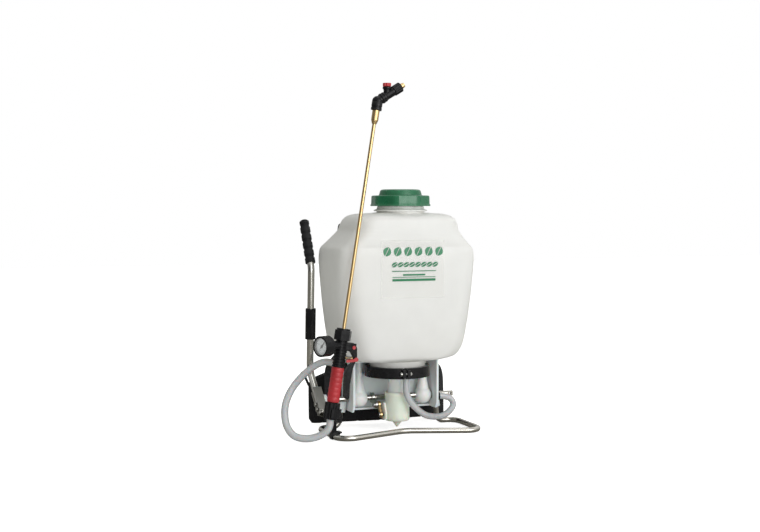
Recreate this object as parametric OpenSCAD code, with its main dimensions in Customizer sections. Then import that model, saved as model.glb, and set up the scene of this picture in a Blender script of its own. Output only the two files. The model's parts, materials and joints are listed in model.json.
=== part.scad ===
// Backpack sprayer with a lever-driven piston pump.
// Millimetres. +Z up, X to the right, -Y to the front, +Y to the wearer's back.
// Origin: on the ground, under the middle of the lumbar pad. The shapes are drawn about the
// tank's middle, and in_frame moves them there.

/* [Tank] */
// Widest half-width of the tank
tank_half_w = 165; // [160:1:166]
// Deepest half-depth of the tank
tank_half_d = 100; // [96:1:100]
// Wall thickness of the moulded tank
tank_wall = 3; // [2:0.5:4]
// Inner radius of the filler neck
neck_bore_r = 48; // [47.9:0.1:48.4]
// Distance from the green cap's axis to its eight flats
cap_flat_r = 64; // [62:1:66]

/* [Pump] */
// Radius of the steel pump shaft
shaft_r = 6.5; // [6:0.1:6.5]
// Free right end of the shaft
shaft_right = 157; // [140:1:160]
// Outer radius of the sliding pump cup at its top
cup_r = 28; // [27.5:0.1:28]
// Outer radius of the fixed pump barrel
barrel_r = 22; // [20:0.5:22]
// Radius of the crank from shaft to pin
crank_r = 27; // [26:0.5:27]

/* [Lever] */
// Position of the pump lever along the shaft
lever_x = -185; // [-188:1:-184]
// Radius of the lever tube
lever_r = 8; // [7:0.5:8]
// Number of ribs on the hand grip
grip_ribs = 5; // [4:1:20]

/* [Stand] */
// Radius of the bent stainless foot tube
foot_r = 6.35; // [5:0.05:6.35]
// Half-width of the stand between tube centres
foot_half_w = 173; // [168:1:173]
// Thickness of the lumbar pad
pad_thick = 26; // [16:1:30]

/* [Spray wand] */
// Lean of the stowed wand from upright, degrees
wand_tilt = 9.02; // [8.5:0.01:9.5]
// Radius of the brass wand tube
wand_r = 4; // [3.5:0.1:4]
// Radius of the supply hose
hose_r = 8; // [6:0.5:8]
// Radius of the second hose
side_hose_r = 7.25; // [6:0.25:7.25]
// Radius of the pressure gauge case
gauge_r = 22.5; // [20:0.5:24]

/* [Hidden] */

$fn = 64;
tube_sides = 16;       // sides of a swept round tube
bend_steps = 7;        // rings in one tube bend
run = 0.05;            // radial clearance of a running fit
snug = 0.02;           // radial clearance of a fixed fit
over = 1;              // how far a cutting shape runs past a face
origin_y = 95;         // how far the origin lies behind the tank's middle

// Tank: height, half-width, half-depth and how far its corners are cut back
tank_bottom = 165;
tank_top = 500;
tank_profile = [[165, 106, 62, 44], [168, 125, 73, 47], [174, 137, 80, 48], [190, 148, 86, 48],
                [210, 153, 90, 46], [250, 158, 94, 42], [300, 162, 97, 36], [350, 164, 99, 28],
                [392, 165, 100, 22], [410, 163.5, 100, 20], [422, 160, 99, 20], [435, 148, 97, 22],
                [450, 135, 93, 24], [462, 127, 88, 26], [478, 123, 83, 26], [488, 118, 79, 26],
                [496, 108, 71, 26], [500, 93, 60, 26]];
// Near the top the back of the tank slopes forward: how far its middle moves at each height
tank_lean = [[425, 0], [450, -7], [462, -12], [478, -16], [488, -18], [500, -18]];
tank_sides = 48;
corner_sharpness = 24; // higher gives sharper corners between the flat faces
corner_slant = 1.25;   // slope of the chamfered corners in plan
neck_y = -28;
neck_from = 470;
neck_shoulder = 516;
neck_top = 534;
neck_r = 53.5;
thread_r = 52;
neck_ring_r = 61;
strainer_seat = 522;
label_left = -75;
label_right = 79;
label_rows = [311, 350, 392, 410, 422, 435, 442];
pump_y = -8;
sump_r = 64;
sump_bore_r = 58;
sump_bottom = 145;

// Filler cap
cap_bottom = 517;
cap_flange_top = 541;
cap_top = 555;
cap_roof = 536;
cap_corner_r = 67;
cap_turn = 15.4; // where the first corner between two flats stands
vent_r = 2.5;

// Clamp ring and pump
ring_r = 75;
ring_bottom = 128;
ring_top = 152;
lug_x = -9.5;
lug_bolt_z = 140;
head_bottom = 137;
head_top = 143;
head_r = 63.5;
barrel_bottom = 64;
barrel_bore_r = 16;
cup_top = 90;
cup_bottom = 24;
cup_bore_r = 25;
nipple_tip = 8;
valve_hole_r = 4;
ball_r = 5.5;
ball_rise = sqrt(ball_r * ball_r - valve_hole_r * valve_hole_r) + 0.1;
shaft_y = 30;
shaft_z = 73;
shaft_end_r = 6;       // free right end, turned down for a second lever
shaft_left = lever_x + 11.1;
bearing_x = 80;
bearing_r = 20.5;

// Crank and link: the pin swings from 30 degrees below the shaft to 30 degrees above it
crank_drop = 30;
crank_x = -50;
link_x = -42;
plate_t = 6;
pin_r = 4;
crank_pin_y = shaft_y - crank_r * cos(crank_drop);
crank_pin_z = shaft_z - crank_r * sin(crank_drop);
link_pin_y = -6;
link_pin_z = 38;
link_pin_r = 3;
ear_hole_r = 5.6;
ear_hole_y = -7.8;

// Base moulding
base_x = 106;
base_t = 5;
base_front = -5;
base_back = 76;
base_foot = 45;
shelf_z = 160;
panel_y = 52;
panel_t = 4;
step_z = 122;
screw_x = 70;
screw_z = 145;
screw_r = 2.5;

// Foot tube: the path of its centre line, left half
foot_front = -113;
foot_rear = 50;
foot_apex_y = -55;
foot_socket = [-116, 42, 66];
foot_turn_in = [-125, 46, foot_r];
clip_turn = -58;       // heading of the foot tube where the clip sits
socket_reach = 140;

// Lumbar pad and its plate
pad_half_w = 179;
pad_front = 82;
pad_wrap = 44;         // how far the pad's ends come back round the hips
pad_bottom = 0;
pad_top = 131;
plate_half_w = 98;

// Lever: its lower straight run starts at lever_foot and leans back by lever_lean
lever_foot = [lever_x, -20, 50];
lever_knee = [lever_x, 72, 137];
lever_neck = [lever_x, 60, 376];
lever_end = [lever_x, 109.5, 474];
lever_lean = atan2(lever_knee[1] - lever_foot[1], lever_knee[2] - lever_foot[2]);
bracket_from = 4;
bracket_len = 66;
bracket_y = (shaft_y - lever_foot[1]) * cos(lever_lean) - (shaft_z - lever_foot[2]) * sin(lever_lean);
bracket_z = (shaft_y - lever_foot[1]) * sin(lever_lean) + (shaft_z - lever_foot[2]) * cos(lever_lean);
bolt_r = 3;
bolt_at = [14, 28];

// Wand: everything on it is placed by distance along its axis from wand_foot
wand_foot = [-197, -110, 54];
hose_nut_len = 36;
valve_grip_to = 114;
valve_neck_to = 173;
valve_core_r = 9;
valve_neck_r = 14;
wand_nut_to = 199;
wand_to = 694;
elbow_at = 700;
nozzle_tilt = 58.5;
elbow = wand_foot + elbow_at * [sin(wand_tilt), 0, cos(wand_tilt)];
pivot_x = 26;
pivot_s = 161;
stem_s = 136;
trigger_w = 14;
gauge_z = 216;
gauge_turn = 205;
gauge_x = wand_foot[0] + (gauge_z - wand_foot[2]) * tan(wand_tilt);
gauge_face = 64;
needle_turn = 140;
knob_from = 778.4;
knob_x = -65;
spigot_from = 44;
spigot_to = 56;

// Hose runs
hose_ends = [wand_foot[0] + 0.3, wand_foot[1], wand_foot[2] + 2];
hose_path = [hose_ends, [-201, -109, 33], [-219, -100, 16.5], [-246, -89, 10.5],
             [-269, -75, 16], [-281, -60, 36], [-281, -45, 65], [-269, -30, 96],
             [-246, -15, 124], [-214, 0, 145], [-180, 14, 153], [-146, 30, 151], [-116, 44, 146]];
side_path = [[5, -52, 127], [4, -53, 110], [6, -53, 91], [16, -52, 71], [34, -49, 52],
             [57, -42, 37], [82, -31, 30], [109, -19, 28.5], [133, -6, 36], [147, 3, 49],
             [144, 9, 62], [128, 11, 69], [114, 11, 71]];

// Shoulder straps: centre lines in the Y-Z plane, then the loose webbing below
strap_x = 70;
strap_w = 50;
strap_t = 9;
strap_line = [[114.5, 446], [115, 462], [121, 473], [131, 471], [138, 456], [141, 430],
              [141, 384], [138, 328], [132, 270], [127, 228]];
web_w = 25;
web_t = 2;
web_path = [[70, 127, 226], [70, 127, 194], [85, 120, 172], [110, 104, 154], [130, 84, 138],
            [137, 72, 118], [138, 68, 80], [138, 66, 40], [138, 66, 16]];

// --- Paths and skins -------------------------------------------------------

function unit(v) = v / norm(v);

// One point of a smooth curve through the points p, in stretch i at share t
function curve_point(p, i, t) =
    let (a = p[max(i - 1, 0)], b = p[i], c = p[i + 1], d = p[min(i + 2, len(p) - 1)])
    0.5 * (2 * b + (c - a) * t + (2 * a - 5 * b + 4 * c - d) * t * t
           + (3 * b - a - 3 * c + d) * t * t * t);

function curve(p, steps) =
    [for (i = [0:len(p) - 2]) for (k = [0:steps - 1]) curve_point(p, i, k / steps),
     p[len(p) - 1]];

// The arc of radius r that rounds the corner b between a and c
function bend(a, b, c, r) =
    let (u = unit(a - b), v = unit(c - b), half = acos(u * v) / 2,
         centre = b + unit(u + v) * r / sin(half),
         x = unit(b + u * r / tan(half) - centre))
    [for (k = [0:bend_steps])
        let (angle = k * (180 - 2 * half) / bend_steps)
        centre + r * (x * cos(angle) - u * sin(angle))];

function bent_path(p, radii) =
    [p[0], for (i = [1:len(p) - 2]) each bend(p[i - 1], p[i], p[i + 1], radii[i - 1]),
     p[len(p) - 1]];

function direction(p, i) =
    let (before = i > 0 ? unit(p[i] - p[i - 1]) : [0, 0, 0],
         after = i < len(p) - 1 ? unit(p[i + 1] - p[i]) : [0, 0, 0])
    unit(before + after);

function ring_of(r, sides) = [for (i = [0:sides - 1]) r * [cos(360 * (i + 0.5) / sides), sin(360 * (i + 0.5) / sides)]];

// The outline placed square to the path at its point i; up is never along the path
function placed(path, i, outline, up) =
    let (t = direction(path, i), u = unit(cross(up, t)), v = cross(t, u))
    [for (q = outline) path[i] + q[0] * u + q[1] * v];

// A closed skin over a list of rings with equal point counts
module skin(rings) {
    n = len(rings[0]);
    last = len(rings) - 1;
    sides = [for (i = [0:last - 1]) for (j = [0:n - 1])
                let (here = i * n + j, next = i * n + (j + 1) % n)
                each [[here, here + n, next + n], [here, next + n, next]]];
    polyhedron(points = [for (ring = rings) each ring],
               faces = concat(sides, [[for (j = [0:n - 1]) j]],
                              [[for (j = [n - 1:-1:0]) last * n + j]]));
}

module sweep(path, outline, up) {
    skin([for (i = [0:len(path) - 1]) placed(path, i, outline, up)]);
}

module ring(r_in, r_out, from, to) {
    translate([0, 0, from]) difference() {
        cylinder(r = r_out, h = to - from);
        translate([0, 0, -over]) cylinder(r = r_in, h = to - from + 2 * over);
    }
}

module disc(r, from, to) {
    translate([0, 0, from]) cylinder(r = r, h = to - from);
}

// A round sleeve from 0 to length with ribs standing proud of it
module ribbed_sleeve(r_low, r_high, r_bore, length, ribs) {
    pitch = length / ribs;
    outline = [for (i = [0:ribs - 1]) each [[r_high, i * pitch], [r_high, (i + 0.55) * pitch],
               [r_low, (i + 0.65) * pitch], [r_low, (i + 0.9) * pitch]]];
    rotate_extrude() polygon(concat([[r_bore, 0]], outline, [[r_low, length], [r_bore, length]]));
}

module along_x(x, y, z) { translate([x, y, z]) rotate([0, 90, 0]) children(); }

module along_y(x, y, z) { translate([x, y, z]) rotate([-90, 0, 0]) children(); }

module both_sides() {
    children();
    mirror([1, 0, 0]) children();
}

// --- Tank ------------------------------------------------------------------

// Distance from the middle to the wall in one direction: flat sides and chamfered corners
function tank_reach(angle, w, d, cut) =
    let (c = abs(cos(angle)), s = abs(sin(angle)), p = corner_sharpness,
         corner = (c + corner_slant * s) / (w + corner_slant * d - cut))
    pow(pow(c / w, p) + pow(s / d, p) + pow(corner, p), -1 / p);

function tank_ring(z, w, d, cut) =
    [for (i = [0:tank_sides - 1])
        let (angle = 360 * (i + 0.5) / tank_sides, reach = tank_reach(angle, w, d, cut))
        [reach * cos(angle), reach * sin(angle) + lookup(z, tank_lean), z]];

function tank_scale_w() = tank_half_w / 165;
function tank_scale_d() = tank_half_d / 100;

// The tank's solid form, moved out by grow and cut short by trim at both ends
module tank_form(grow, trim) {
    skin([for (row = tank_profile)
        tank_ring(min(max(row[0], tank_bottom + trim + row[0] / 1e4), tank_top - trim + row[0] / 1e4),
                  row[1] * tank_scale_w() + grow, row[2] * tank_scale_d() + grow, row[3])]);
}

module tank() {
    color("ivory", 0.8) difference() {
        union() {
            tank_form(0, 0);
            translate([0, neck_y, 0]) {
                disc(neck_r, neck_from, neck_shoulder);
                disc(thread_r, neck_from, neck_top);
                disc(neck_ring_r, 505, 512);
            }
            translate([0, pump_y, 0]) disc(sump_r, sump_bottom, tank_bottom + 8);
        }
        tank_form(-tank_wall, tank_wall);
        translate([0, neck_y, 0]) {
            disc(neck_bore_r, strainer_seat, neck_top + over);
            disc(neck_bore_r - 3, neck_from, strainer_seat + over);
        }
        translate([0, pump_y, 0]) disc(sump_bore_r, sump_bottom - over, tank_bottom + 10);
    }
}

// Half-sizes of the tank at a height
function tank_w(z) = lookup(z, [for (row = tank_profile) [row[0], row[1]]]) * tank_scale_w();
function tank_d(z) = lookup(z, [for (row = tank_profile) [row[0], row[2]]]) * tank_scale_d();
function tank_cut(z) = lookup(z, [for (row = tank_profile) [row[0], row[3]]]);

// One row of film points at height z, standing off the tank's front by gap
function film_row(z, gap) =
    [for (x = [label_left:(label_right - label_left) / 6:label_right])
        let (angle = atan2(-tank_d(z), x),
             reach = tank_reach(angle, tank_w(z) + gap, tank_d(z) + gap, tank_cut(z)))
        [reach * cos(angle), reach * sin(angle) + lookup(z, tank_lean), z]];

function reversed(list) = [for (i = [len(list) - 1:-1:0]) list[i]];

module tank_label() {
    color("white") skin([for (z = label_rows) concat(film_row(z, 1), reversed(film_row(z, 0.5)))]);
}

function lobed(r, depth, lobes, steps) =
    [for (i = [0:steps - 1])
        let (angle = 360 * i / steps, wave = max(cos(lobes * angle), -0.55))
        (r - depth + depth * (wave + 0.55) / 1.55) * [cos(angle), sin(angle)]];

module tank_cap() {
    color("seagreen") translate([0, neck_y, 0]) difference() {
        union() {
            translate([0, 0, cap_bottom]) linear_extrude(cap_flange_top - cap_bottom)
                intersection() {
                    circle(r = cap_corner_r);
                    rotate(cap_turn) circle(r = cap_flat_r / cos(22.5), $fn = 8);
                }
            translate([0, 0, cap_flange_top]) cylinder(r1 = 48, r2 = 45.5, h = 10);
            translate([0, 0, cap_flange_top + 10])
                cylinder(r1 = 45.5, r2 = 36, h = cap_top - cap_flange_top - 10);
        }
        disc(thread_r + run, cap_bottom - over, cap_roof);
        disc(vent_r + snug, cap_roof - over, cap_roof + 10.2);
    }
}

module cap_gasket() {
    color("dimgray") translate([0, neck_y, 0])
        ring(neck_bore_r - 1, thread_r - 0.2, neck_top + 0.05, cap_roof - 0.05);
}

module vent_valve() {
    color("dimgray") translate([0, neck_y, 0]) {
        disc(9, cap_roof - 4, cap_roof - 0.05);
        disc(vent_r, cap_roof - 2, cap_roof + 10);
    }
}

module filler_strainer() {
    basket_r = 44;
    basket_bottom = 430;
    mesh_t = 1.6;
    windows = 12;
    color("white") translate([0, neck_y, 0]) difference() {
        union() {
            ring(basket_r - mesh_t, basket_r, basket_bottom, strainer_seat + 2);
            ring(basket_r - mesh_t, neck_bore_r - run, strainer_seat + 0.05, strainer_seat + 2);
            disc(basket_r, basket_bottom, basket_bottom + mesh_t);
        }
        for (i = [0:windows - 1]) rotate(360 * i / windows)
            translate([basket_r - 4, -7, basket_bottom + 8]) cube([8, 14, 66]);
        for (i = [0:5]) rotate(60 * i) translate([24, 0, basket_bottom - over])
            cylinder(r = 7, h = 4);
        translate([0, 0, basket_bottom - over]) cylinder(r = 10, h = 4);
    }
}

module sump_gasket() {
    color("dimgray") translate([0, pump_y, 0]) ring(sump_bore_r + 0.5, head_r, head_top, sump_bottom);
}

module pressure_chamber() {
    color("whitesmoke") translate([0, pump_y, 0]) difference() {
        union() {
            disc(28, head_top, 290);
            translate([0, 0, 290]) cylinder(r1 = 28, r2 = 16, h = 12);
        }
        disc(25.5, head_top - over, 288);
        translate([0, 0, 287.9]) cylinder(r1 = 25.5, r2 = 14.5, h = 11.5);
    }
}

// --- Base, stand and back rest ----------------------------------------------

module base_side() {
    outline = [[base_front, tank_bottom], [base_front, 60], [4, base_foot],
               [base_back, base_foot], [base_back, tank_bottom]];
    translate([base_x - base_t, 0, 0]) rotate([90, 0, 90]) linear_extrude(base_t) polygon(outline);
}

// Socket that holds one end of the foot tube
module foot_socket_solid() {
    lean = unit(foot_socket - foot_turn_in);
    translate(foot_socket - 24 * lean) rotate([0, acos(lean[2]), atan2(lean[1], lean[0])])
        cylinder(r = 10.5, h = 27);
}

module foot_socket_hole() {
    lean = unit(foot_socket - foot_turn_in);
    translate(foot_socket - 30 * lean) rotate([0, acos(lean[2]), atan2(lean[1], lean[0])])
        cylinder(r = foot_r + run, h = 30.2);
}

module base_frame() {
    inner_x = base_x - base_t;
    color("aliceblue") difference() {
        union() {
            both_sides() {
                base_side();
                mirror([1, 0, 0]) foot_socket_solid();
            }
            translate([-base_x, base_front, shelf_z])
                cube([2 * base_x, base_back - base_front, tank_bottom - shelf_z]);
            translate([-inner_x - 1, panel_y, base_foot])
                cube([2 * inner_x + 2, panel_t, step_z + panel_t - base_foot]);
            translate([-inner_x - 1, panel_y, step_z])
                cube([2 * inner_x + 2, base_back - panel_y, panel_t]);
            translate([-inner_x - 1, base_back - panel_t, step_z])
                cube([2 * inner_x + 2, panel_t, tank_bottom - step_z]);
            translate([-inner_x - 1, 36, base_foot])
                cube([2 * inner_x + 2, panel_y + panel_t - 36, panel_t]);
        }
        translate([0, pump_y, 0]) disc(sump_r + 0.5, shelf_z - over, tank_bottom + over);
        along_x(-socket_reach, shaft_y, shaft_z) cylinder(r = shaft_r + 0.8, h = 2 * socket_reach);
        both_sides() {
            mirror([1, 0, 0]) foot_socket_hole();
            along_y(screw_x, base_back - 8, screw_z) cylinder(r = screw_r + snug, h = 10);
        }
    }
}

module base_screws() {
    color("silver") both_sides() along_y(screw_x, 0, screw_z) {
        disc(5, base_back - panel_t - 3, base_back - panel_t);
        disc(screw_r, base_back - panel_t - 1, base_back + 8);
        translate([0, 0, base_back + 3]) cylinder(r = 5, h = 4, $fn = 6);
    }
}

module clamp_ring() {
    lug_z = ring_bottom + 3;
    color([0.1, 0.1, 0.11]) translate([0, pump_y, 0]) difference() {
        union() {
            disc(ring_r, ring_bottom, ring_top);
            translate([lug_x - 9, -85, lug_z]) cube([18, 16, 18]);
        }
        disc(sump_r + snug, head_bottom, ring_top + over);
        disc(sump_bore_r - 3, ring_bottom - over, head_bottom + over);
        translate([lug_x - 2, -90, ring_bottom - over]) cube([4, 34, ring_top - ring_bottom + 2 * over]);
        along_x(lug_x - 17, -79, lug_bolt_z) cylinder(r = 2.52, h = 40);
    }
}

module clamp_bolt() {
    color("silver") along_x(lug_x, pump_y - 79, lug_bolt_z) {
        disc(2.5, -13, 14);
        disc(4.5, -14, -9);
        translate([0, 0, 9]) cylinder(r = 4.5, h = 4, $fn = 6);
    }
}

module foot_frame() {
    half_path = [foot_socket, foot_turn_in, [-foot_half_w, foot_rear, foot_r],
                 [-foot_half_w, foot_front, foot_r], [0, foot_apex_y, foot_r]];
    flip = [for (i = [3:-1:0]) [-half_path[i][0], half_path[i][1], half_path[i][2]]];
    path = bent_path(concat(half_path, flip), [18, 26, 30, 60, 30, 26, 18]);
    color("silver") sweep(path, ring_of(foot_r, tube_sides), [0.11, 0.2, 0.97]);
}

module on_wand() { translate(wand_foot) rotate([0, wand_tilt, 0]) children(); }

// Clip on the bend of the left foot tube that cradles the wand handle's lower nut
module wand_clip() {
    grip_r = 17.3;
    color([0.1, 0.1, 0.11]) difference() {
        union() {
            translate([-181, -73, 1]) cube([24, 18, 16]);
            translate([-181, -73, 16]) cube([11, 18, 40]);
            translate([-181, -110, 44]) cube([11, 50, 22]);
            on_wand() disc(grip_r + 4, 4, 24);
        }
        translate([-163.9, -61.4, foot_r]) rotate([0, 90, clip_turn]) translate([0, 0, -30])
            cylinder(r = foot_r + 1, h = 60);
        on_wand() {
            disc(grip_r, -50, 60);
            translate([-40, -30, -10]) cube([34, 60, 60]);
        }
    }
}

function pad_line(x, depth) = pad_front + depth + pad_wrap * pow(x / pad_half_w, 2);

module lumbar_pad() {
    steps = 24;
    xs = [for (i = [0:steps]) pad_half_w * (2 * i / steps - 1)];
    front = [for (x = xs) [x * (1 - 0.02), pad_line(x, 0)]];
    back = [for (i = [steps:-1:0]) [xs[i] * 0.98, pad_line(xs[i], pad_thick)]];
    color([0.08, 0.08, 0.09]) translate([0, 0, pad_bottom])
        linear_extrude(pad_top - pad_bottom) polygon(concat(front, back));
}

module back_plate() {
    color([0.12, 0.12, 0.13]) difference() {
        translate([-plate_half_w, base_back, 40]) cube([2 * plate_half_w, 3, 120]);
        both_sides() along_y(screw_x, base_back - 5, screw_z) cylinder(r = screw_r + snug, h = 12);
    }
}

module strap_brackets() {
    plate_z = 376;
    bar_z = 458;
    color([0.12, 0.12, 0.13]) both_sides() {
        translate([strap_x - 28, tank_half_d + 0.3, plate_z]) cube([56, 3, 90]);
        along_x(strap_x - 28, tank_half_d + 6, bar_z) cylinder(r = 3, h = 56);
        translate([strap_x - 28, tank_half_d + 2, bar_z - 3]) cube([3, 4, 6]);
        translate([strap_x + 25, tank_half_d + 2, bar_z - 3]) cube([3, 4, 6]);
    }
}

module flat_band(path, width, thick) {
    outline = [[-width / 2, -thick / 2], [width / 2, -thick / 2],
               [width / 2, thick / 2], [-width / 2, thick / 2]];
    sweep(path, [for (q = outline) [q[1], q[0]]], [1, 0, 0]);
}

module shoulder_straps() {
    path = curve([for (q = strap_line) [strap_x, q[0], q[1]]], 4);
    color([0.08, 0.08, 0.09]) both_sides() flat_band(path, strap_w, strap_t);
}

module strap_webbing() {
    color([0.08, 0.08, 0.09]) both_sides() flat_band(curve(web_path, 5), web_w, web_t);
}

module strap_buckles() {
    color([0.12, 0.12, 0.13]) both_sides() translate([strap_x, 127, 200]) difference() {
        translate([-17, -5, 0]) cube([34, 10, 22]);
        translate([-14.5, -2, -over]) cube([29, 4, 24]);
    }
}

// --- Pump --------------------------------------------------------------------

module pump_barrel() {
    plug_t = 12;
    color("gainsboro") translate([0, pump_y, 0]) difference() {
        union() {
            disc(head_r, head_bottom, head_top);
            disc(barrel_r, barrel_bottom, head_bottom + over);
        }
        disc(barrel_bore_r, barrel_bottom + plug_t, head_bottom);
        disc(valve_hole_r, barrel_bottom - over, head_top + over);
        difference() {
            disc(barrel_r + over, barrel_bottom + 2, barrel_bottom + 8);
            disc(barrel_r - 2, barrel_bottom, barrel_bottom + 10);
        }
    }
}

module piston_seal() {
    color("black") translate([0, pump_y, 0])
        ring(barrel_r - 2 + snug, cup_bore_r - run, barrel_bottom + 2.1, barrel_bottom + 7.9);
}

module ear_solid() {
    outline = [[-22, 28], [6, 28], [6, 44], [-4, 66], [-12, 66], [-22, 44]];
    translate([-34, 0, 0]) rotate([90, 0, 90]) linear_extrude(12) polygon(outline);
}

module pump_cup() {
    color("wheat") difference() {
        union() {
            translate([0, pump_y, cup_bottom]) cylinder(r1 = cup_r + 1, r2 = cup_r, h = cup_top - cup_bottom);
            translate([0, pump_y, nipple_tip]) cylinder(r1 = 2, r2 = 8, h = cup_bottom - nipple_tip);
            ear_solid();
        }
        translate([0, pump_y, 0]) disc(cup_bore_r, cup_bottom + 5, cup_top + over);
        along_x(-40, ear_hole_y, link_pin_z) cylinder(r = ear_hole_r, h = 10);
    }
}

module valve_ball(z) {
    translate([0, pump_y, z + ball_rise]) sphere(r = ball_r);
}

module inlet_ball() { color("silver") valve_ball(barrel_bottom + 12); }

module outlet_ball() { color("silver") valve_ball(head_top); }

module bearing(side) {
    stem_r = 8;
    color("whitesmoke") difference() {
        translate([side * bearing_x, shaft_y, 0]) {
            translate([0, 0, shaft_z]) sphere(r = bearing_r);
            translate([0, 0, shaft_z + 12]) cylinder(r1 = 15, r2 = stem_r, h = 36);
            disc(stem_r, shaft_z + 40, shelf_z);
        }
        along_x(side * bearing_x - 30, shaft_y, shaft_z) cylinder(r = shaft_r + run, h = 60);
    }
}

module bearing_left() { bearing(-1); }

module bearing_right() { bearing(1); }

module pump_shaft() {
    flat_from = shaft_right - 14;
    flat_half = 4;
    color("silver") difference() {
        along_x(0, shaft_y, shaft_z) {
            disc(shaft_r, shaft_left, shaft_right - 28);
            disc(shaft_end_r, 0, shaft_right);
        }
        for (side = [-1, 1])
            translate([flat_from, shaft_y - 10 + side * (flat_half + 10), shaft_z - 10])
                cube([30, 20, 20]);
        along_y(shaft_right - 7, shaft_y - 10, shaft_z) cylinder(r = 3, h = 20);
    }
}

module shaft_bush() {
    color("whitesmoke") along_x(0, shaft_y, shaft_z) ring(shaft_r + snug, 13, shaft_left + 2, shaft_left + 14);
}

module shaft_retainers() {
    color("dimgray") both_sides() along_x(0, shaft_y, shaft_z) ring(shaft_r + snug, 10, 99.6, 100.8);
}

module crank_arm() {
    color("silver") difference() {
        union() {
            along_x(crank_x, shaft_y, shaft_z) cylinder(r = 12, h = plate_t);
            along_x(crank_x, crank_pin_y, crank_pin_z) cylinder(r = 8, h = plate_t);
            translate([crank_x, shaft_y, shaft_z]) rotate([crank_drop, 0, 0])
                translate([0, -crank_r, -6.5]) cube([plate_t, crank_r, 13]);
        }
        along_x(crank_x - over, shaft_y, shaft_z) cylinder(r = shaft_r + snug, h = plate_t + 2 * over);
        along_x(crank_x - over, crank_pin_y, crank_pin_z)
            cylinder(r = pin_r + snug, h = plate_t + 2 * over);
    }
}

module crank_pin() {
    color("silver") along_x(0, crank_pin_y, crank_pin_z) {
        disc(pin_r, crank_x - 2, link_x + 7.2);
        disc(6, crank_x - 3, crank_x);
        disc(6, link_x + 5.2, link_x + 7.2);
    }
}

module pump_link() {
    link_t = 5;
    run_y = crank_pin_y - link_pin_y;
    run_z = crank_pin_z - link_pin_z;
    color("goldenrod") difference() {
        union() {
            along_x(link_x, crank_pin_y, crank_pin_z) cylinder(r = 8, h = link_t);
            along_x(link_x, link_pin_y, link_pin_z) cylinder(r = 7, h = link_t);
            translate([link_x, link_pin_y, link_pin_z]) rotate([-atan2(run_y, run_z), 0, 0])
                translate([0.2, -5, 0.5]) cube([link_t - 0.4, 10, norm([run_y, run_z]) - 1]);
        }
        along_x(link_x - over, crank_pin_y, crank_pin_z)
            cylinder(r = pin_r + run, h = link_t + 2 * over);
        along_x(link_x - over, link_pin_y, link_pin_z)
            cylinder(r = link_pin_r + snug, h = link_t + 2 * over);
    }
}

module link_pin() {
    color("silver") along_x(0, link_pin_y, link_pin_z) {
        disc(link_pin_r, link_x - 1.5, -30.6);
        disc(5, link_x - 2.5, link_x);
    }
}

// --- Lever -------------------------------------------------------------------

module on_lever_foot() { translate(lever_foot) rotate([-lever_lean, 0, 0]) children(); }

module on_lever_run(from, to) {
    lean = unit(to - from);
    translate(from) rotate([-atan2(lean[1], lean[2]), 0, 0]) children();
}

module lever_bracket() {
    web = shaft_left - lever_x - 3;
    color("silver") on_lever_foot() difference() {
        union() {
            translate([web, -11, bracket_from]) cube([3, 22, bracket_len]);
            along_x(web, bracket_y, bracket_z) cylinder(r = 14, h = 3);
            for (side = [-1, 1]) translate([-lever_r, side * 9.6 - 1.4, bracket_from])
                cube([web + lever_r + over, 2.8, bracket_len]);
        }
        for (at = bolt_at) along_x(-20, 0, at) cylinder(r = bolt_r + snug, h = 40);
    }
}

module lever_tube() {
    path = bent_path([lever_foot, lever_knee, lever_neck, lever_end], [45, 40]);
    color("silver") difference() {
        sweep(path, ring_of(lever_r, tube_sides), [1, 0, 0]);
        on_lever_foot() for (at = bolt_at) along_x(-20, 0, at) cylinder(r = bolt_r + snug, h = 40);
    }
}

module lever_bolts() {
    color("silver") on_lever_foot() for (at = bolt_at) along_x(0, 0, at) {
        disc(bolt_r, -lever_r - 2, 16);
        disc(5, -lever_r - 4, -lever_r);
        translate([0, 0, 11.1]) cylinder(r = 5, h = 4, $fn = 6);
    }
}

module lever_sleeve() {
    color([0.1, 0.1, 0.11]) on_lever_run(lever_knee, lever_neck) difference() {
        union() {
            disc(12, 74, 145);
            translate([-3, -15, 76]) cube([6, 10, 67]);
        }
        disc(lever_r + snug, 70, 150);
    }
}

module lever_grip() {
    grip_from = 12;
    grip_len = 108;
    color([0.08, 0.08, 0.09]) on_lever_run(lever_neck, lever_end) translate([0, 0, grip_from]) {
        ribbed_sleeve(10.2, 11.6, lever_r + snug, grip_len - 10, grip_ribs);
        disc(11.2, grip_len - 10, grip_len - 3);
        translate([0, 0, grip_len - 3]) cylinder(r1 = 11.2, r2 = 8, h = 3);
    }
}

// --- Hoses -------------------------------------------------------------------

module hose_main() {
    color("gainsboro") sweep(curve(hose_path, 4), ring_of(hose_r, tube_sides), [0.35, 0.9, 0.25]);
}

module hose_side() {
    color("gainsboro") sweep(curve(side_path, 4), ring_of(side_hose_r, tube_sides), [0.3, 0.93, 0.2]);
}

module hose_fittings() {
    color([0.1, 0.1, 0.11]) {
        along_x(-115.9, 44.3, 145.9) cylinder(r = 10, h = 115.9 - base_x);
        along_x(base_x, 11, 71) cylinder(r = 9.5, h = 7.8);
        translate([side_path[0][0], side_path[0][1], 127.05]) cylinder(r = 9.5, h = ring_bottom - 127.1);
    }
}

// --- Wand handle ---------------------------------------------------------------

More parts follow.
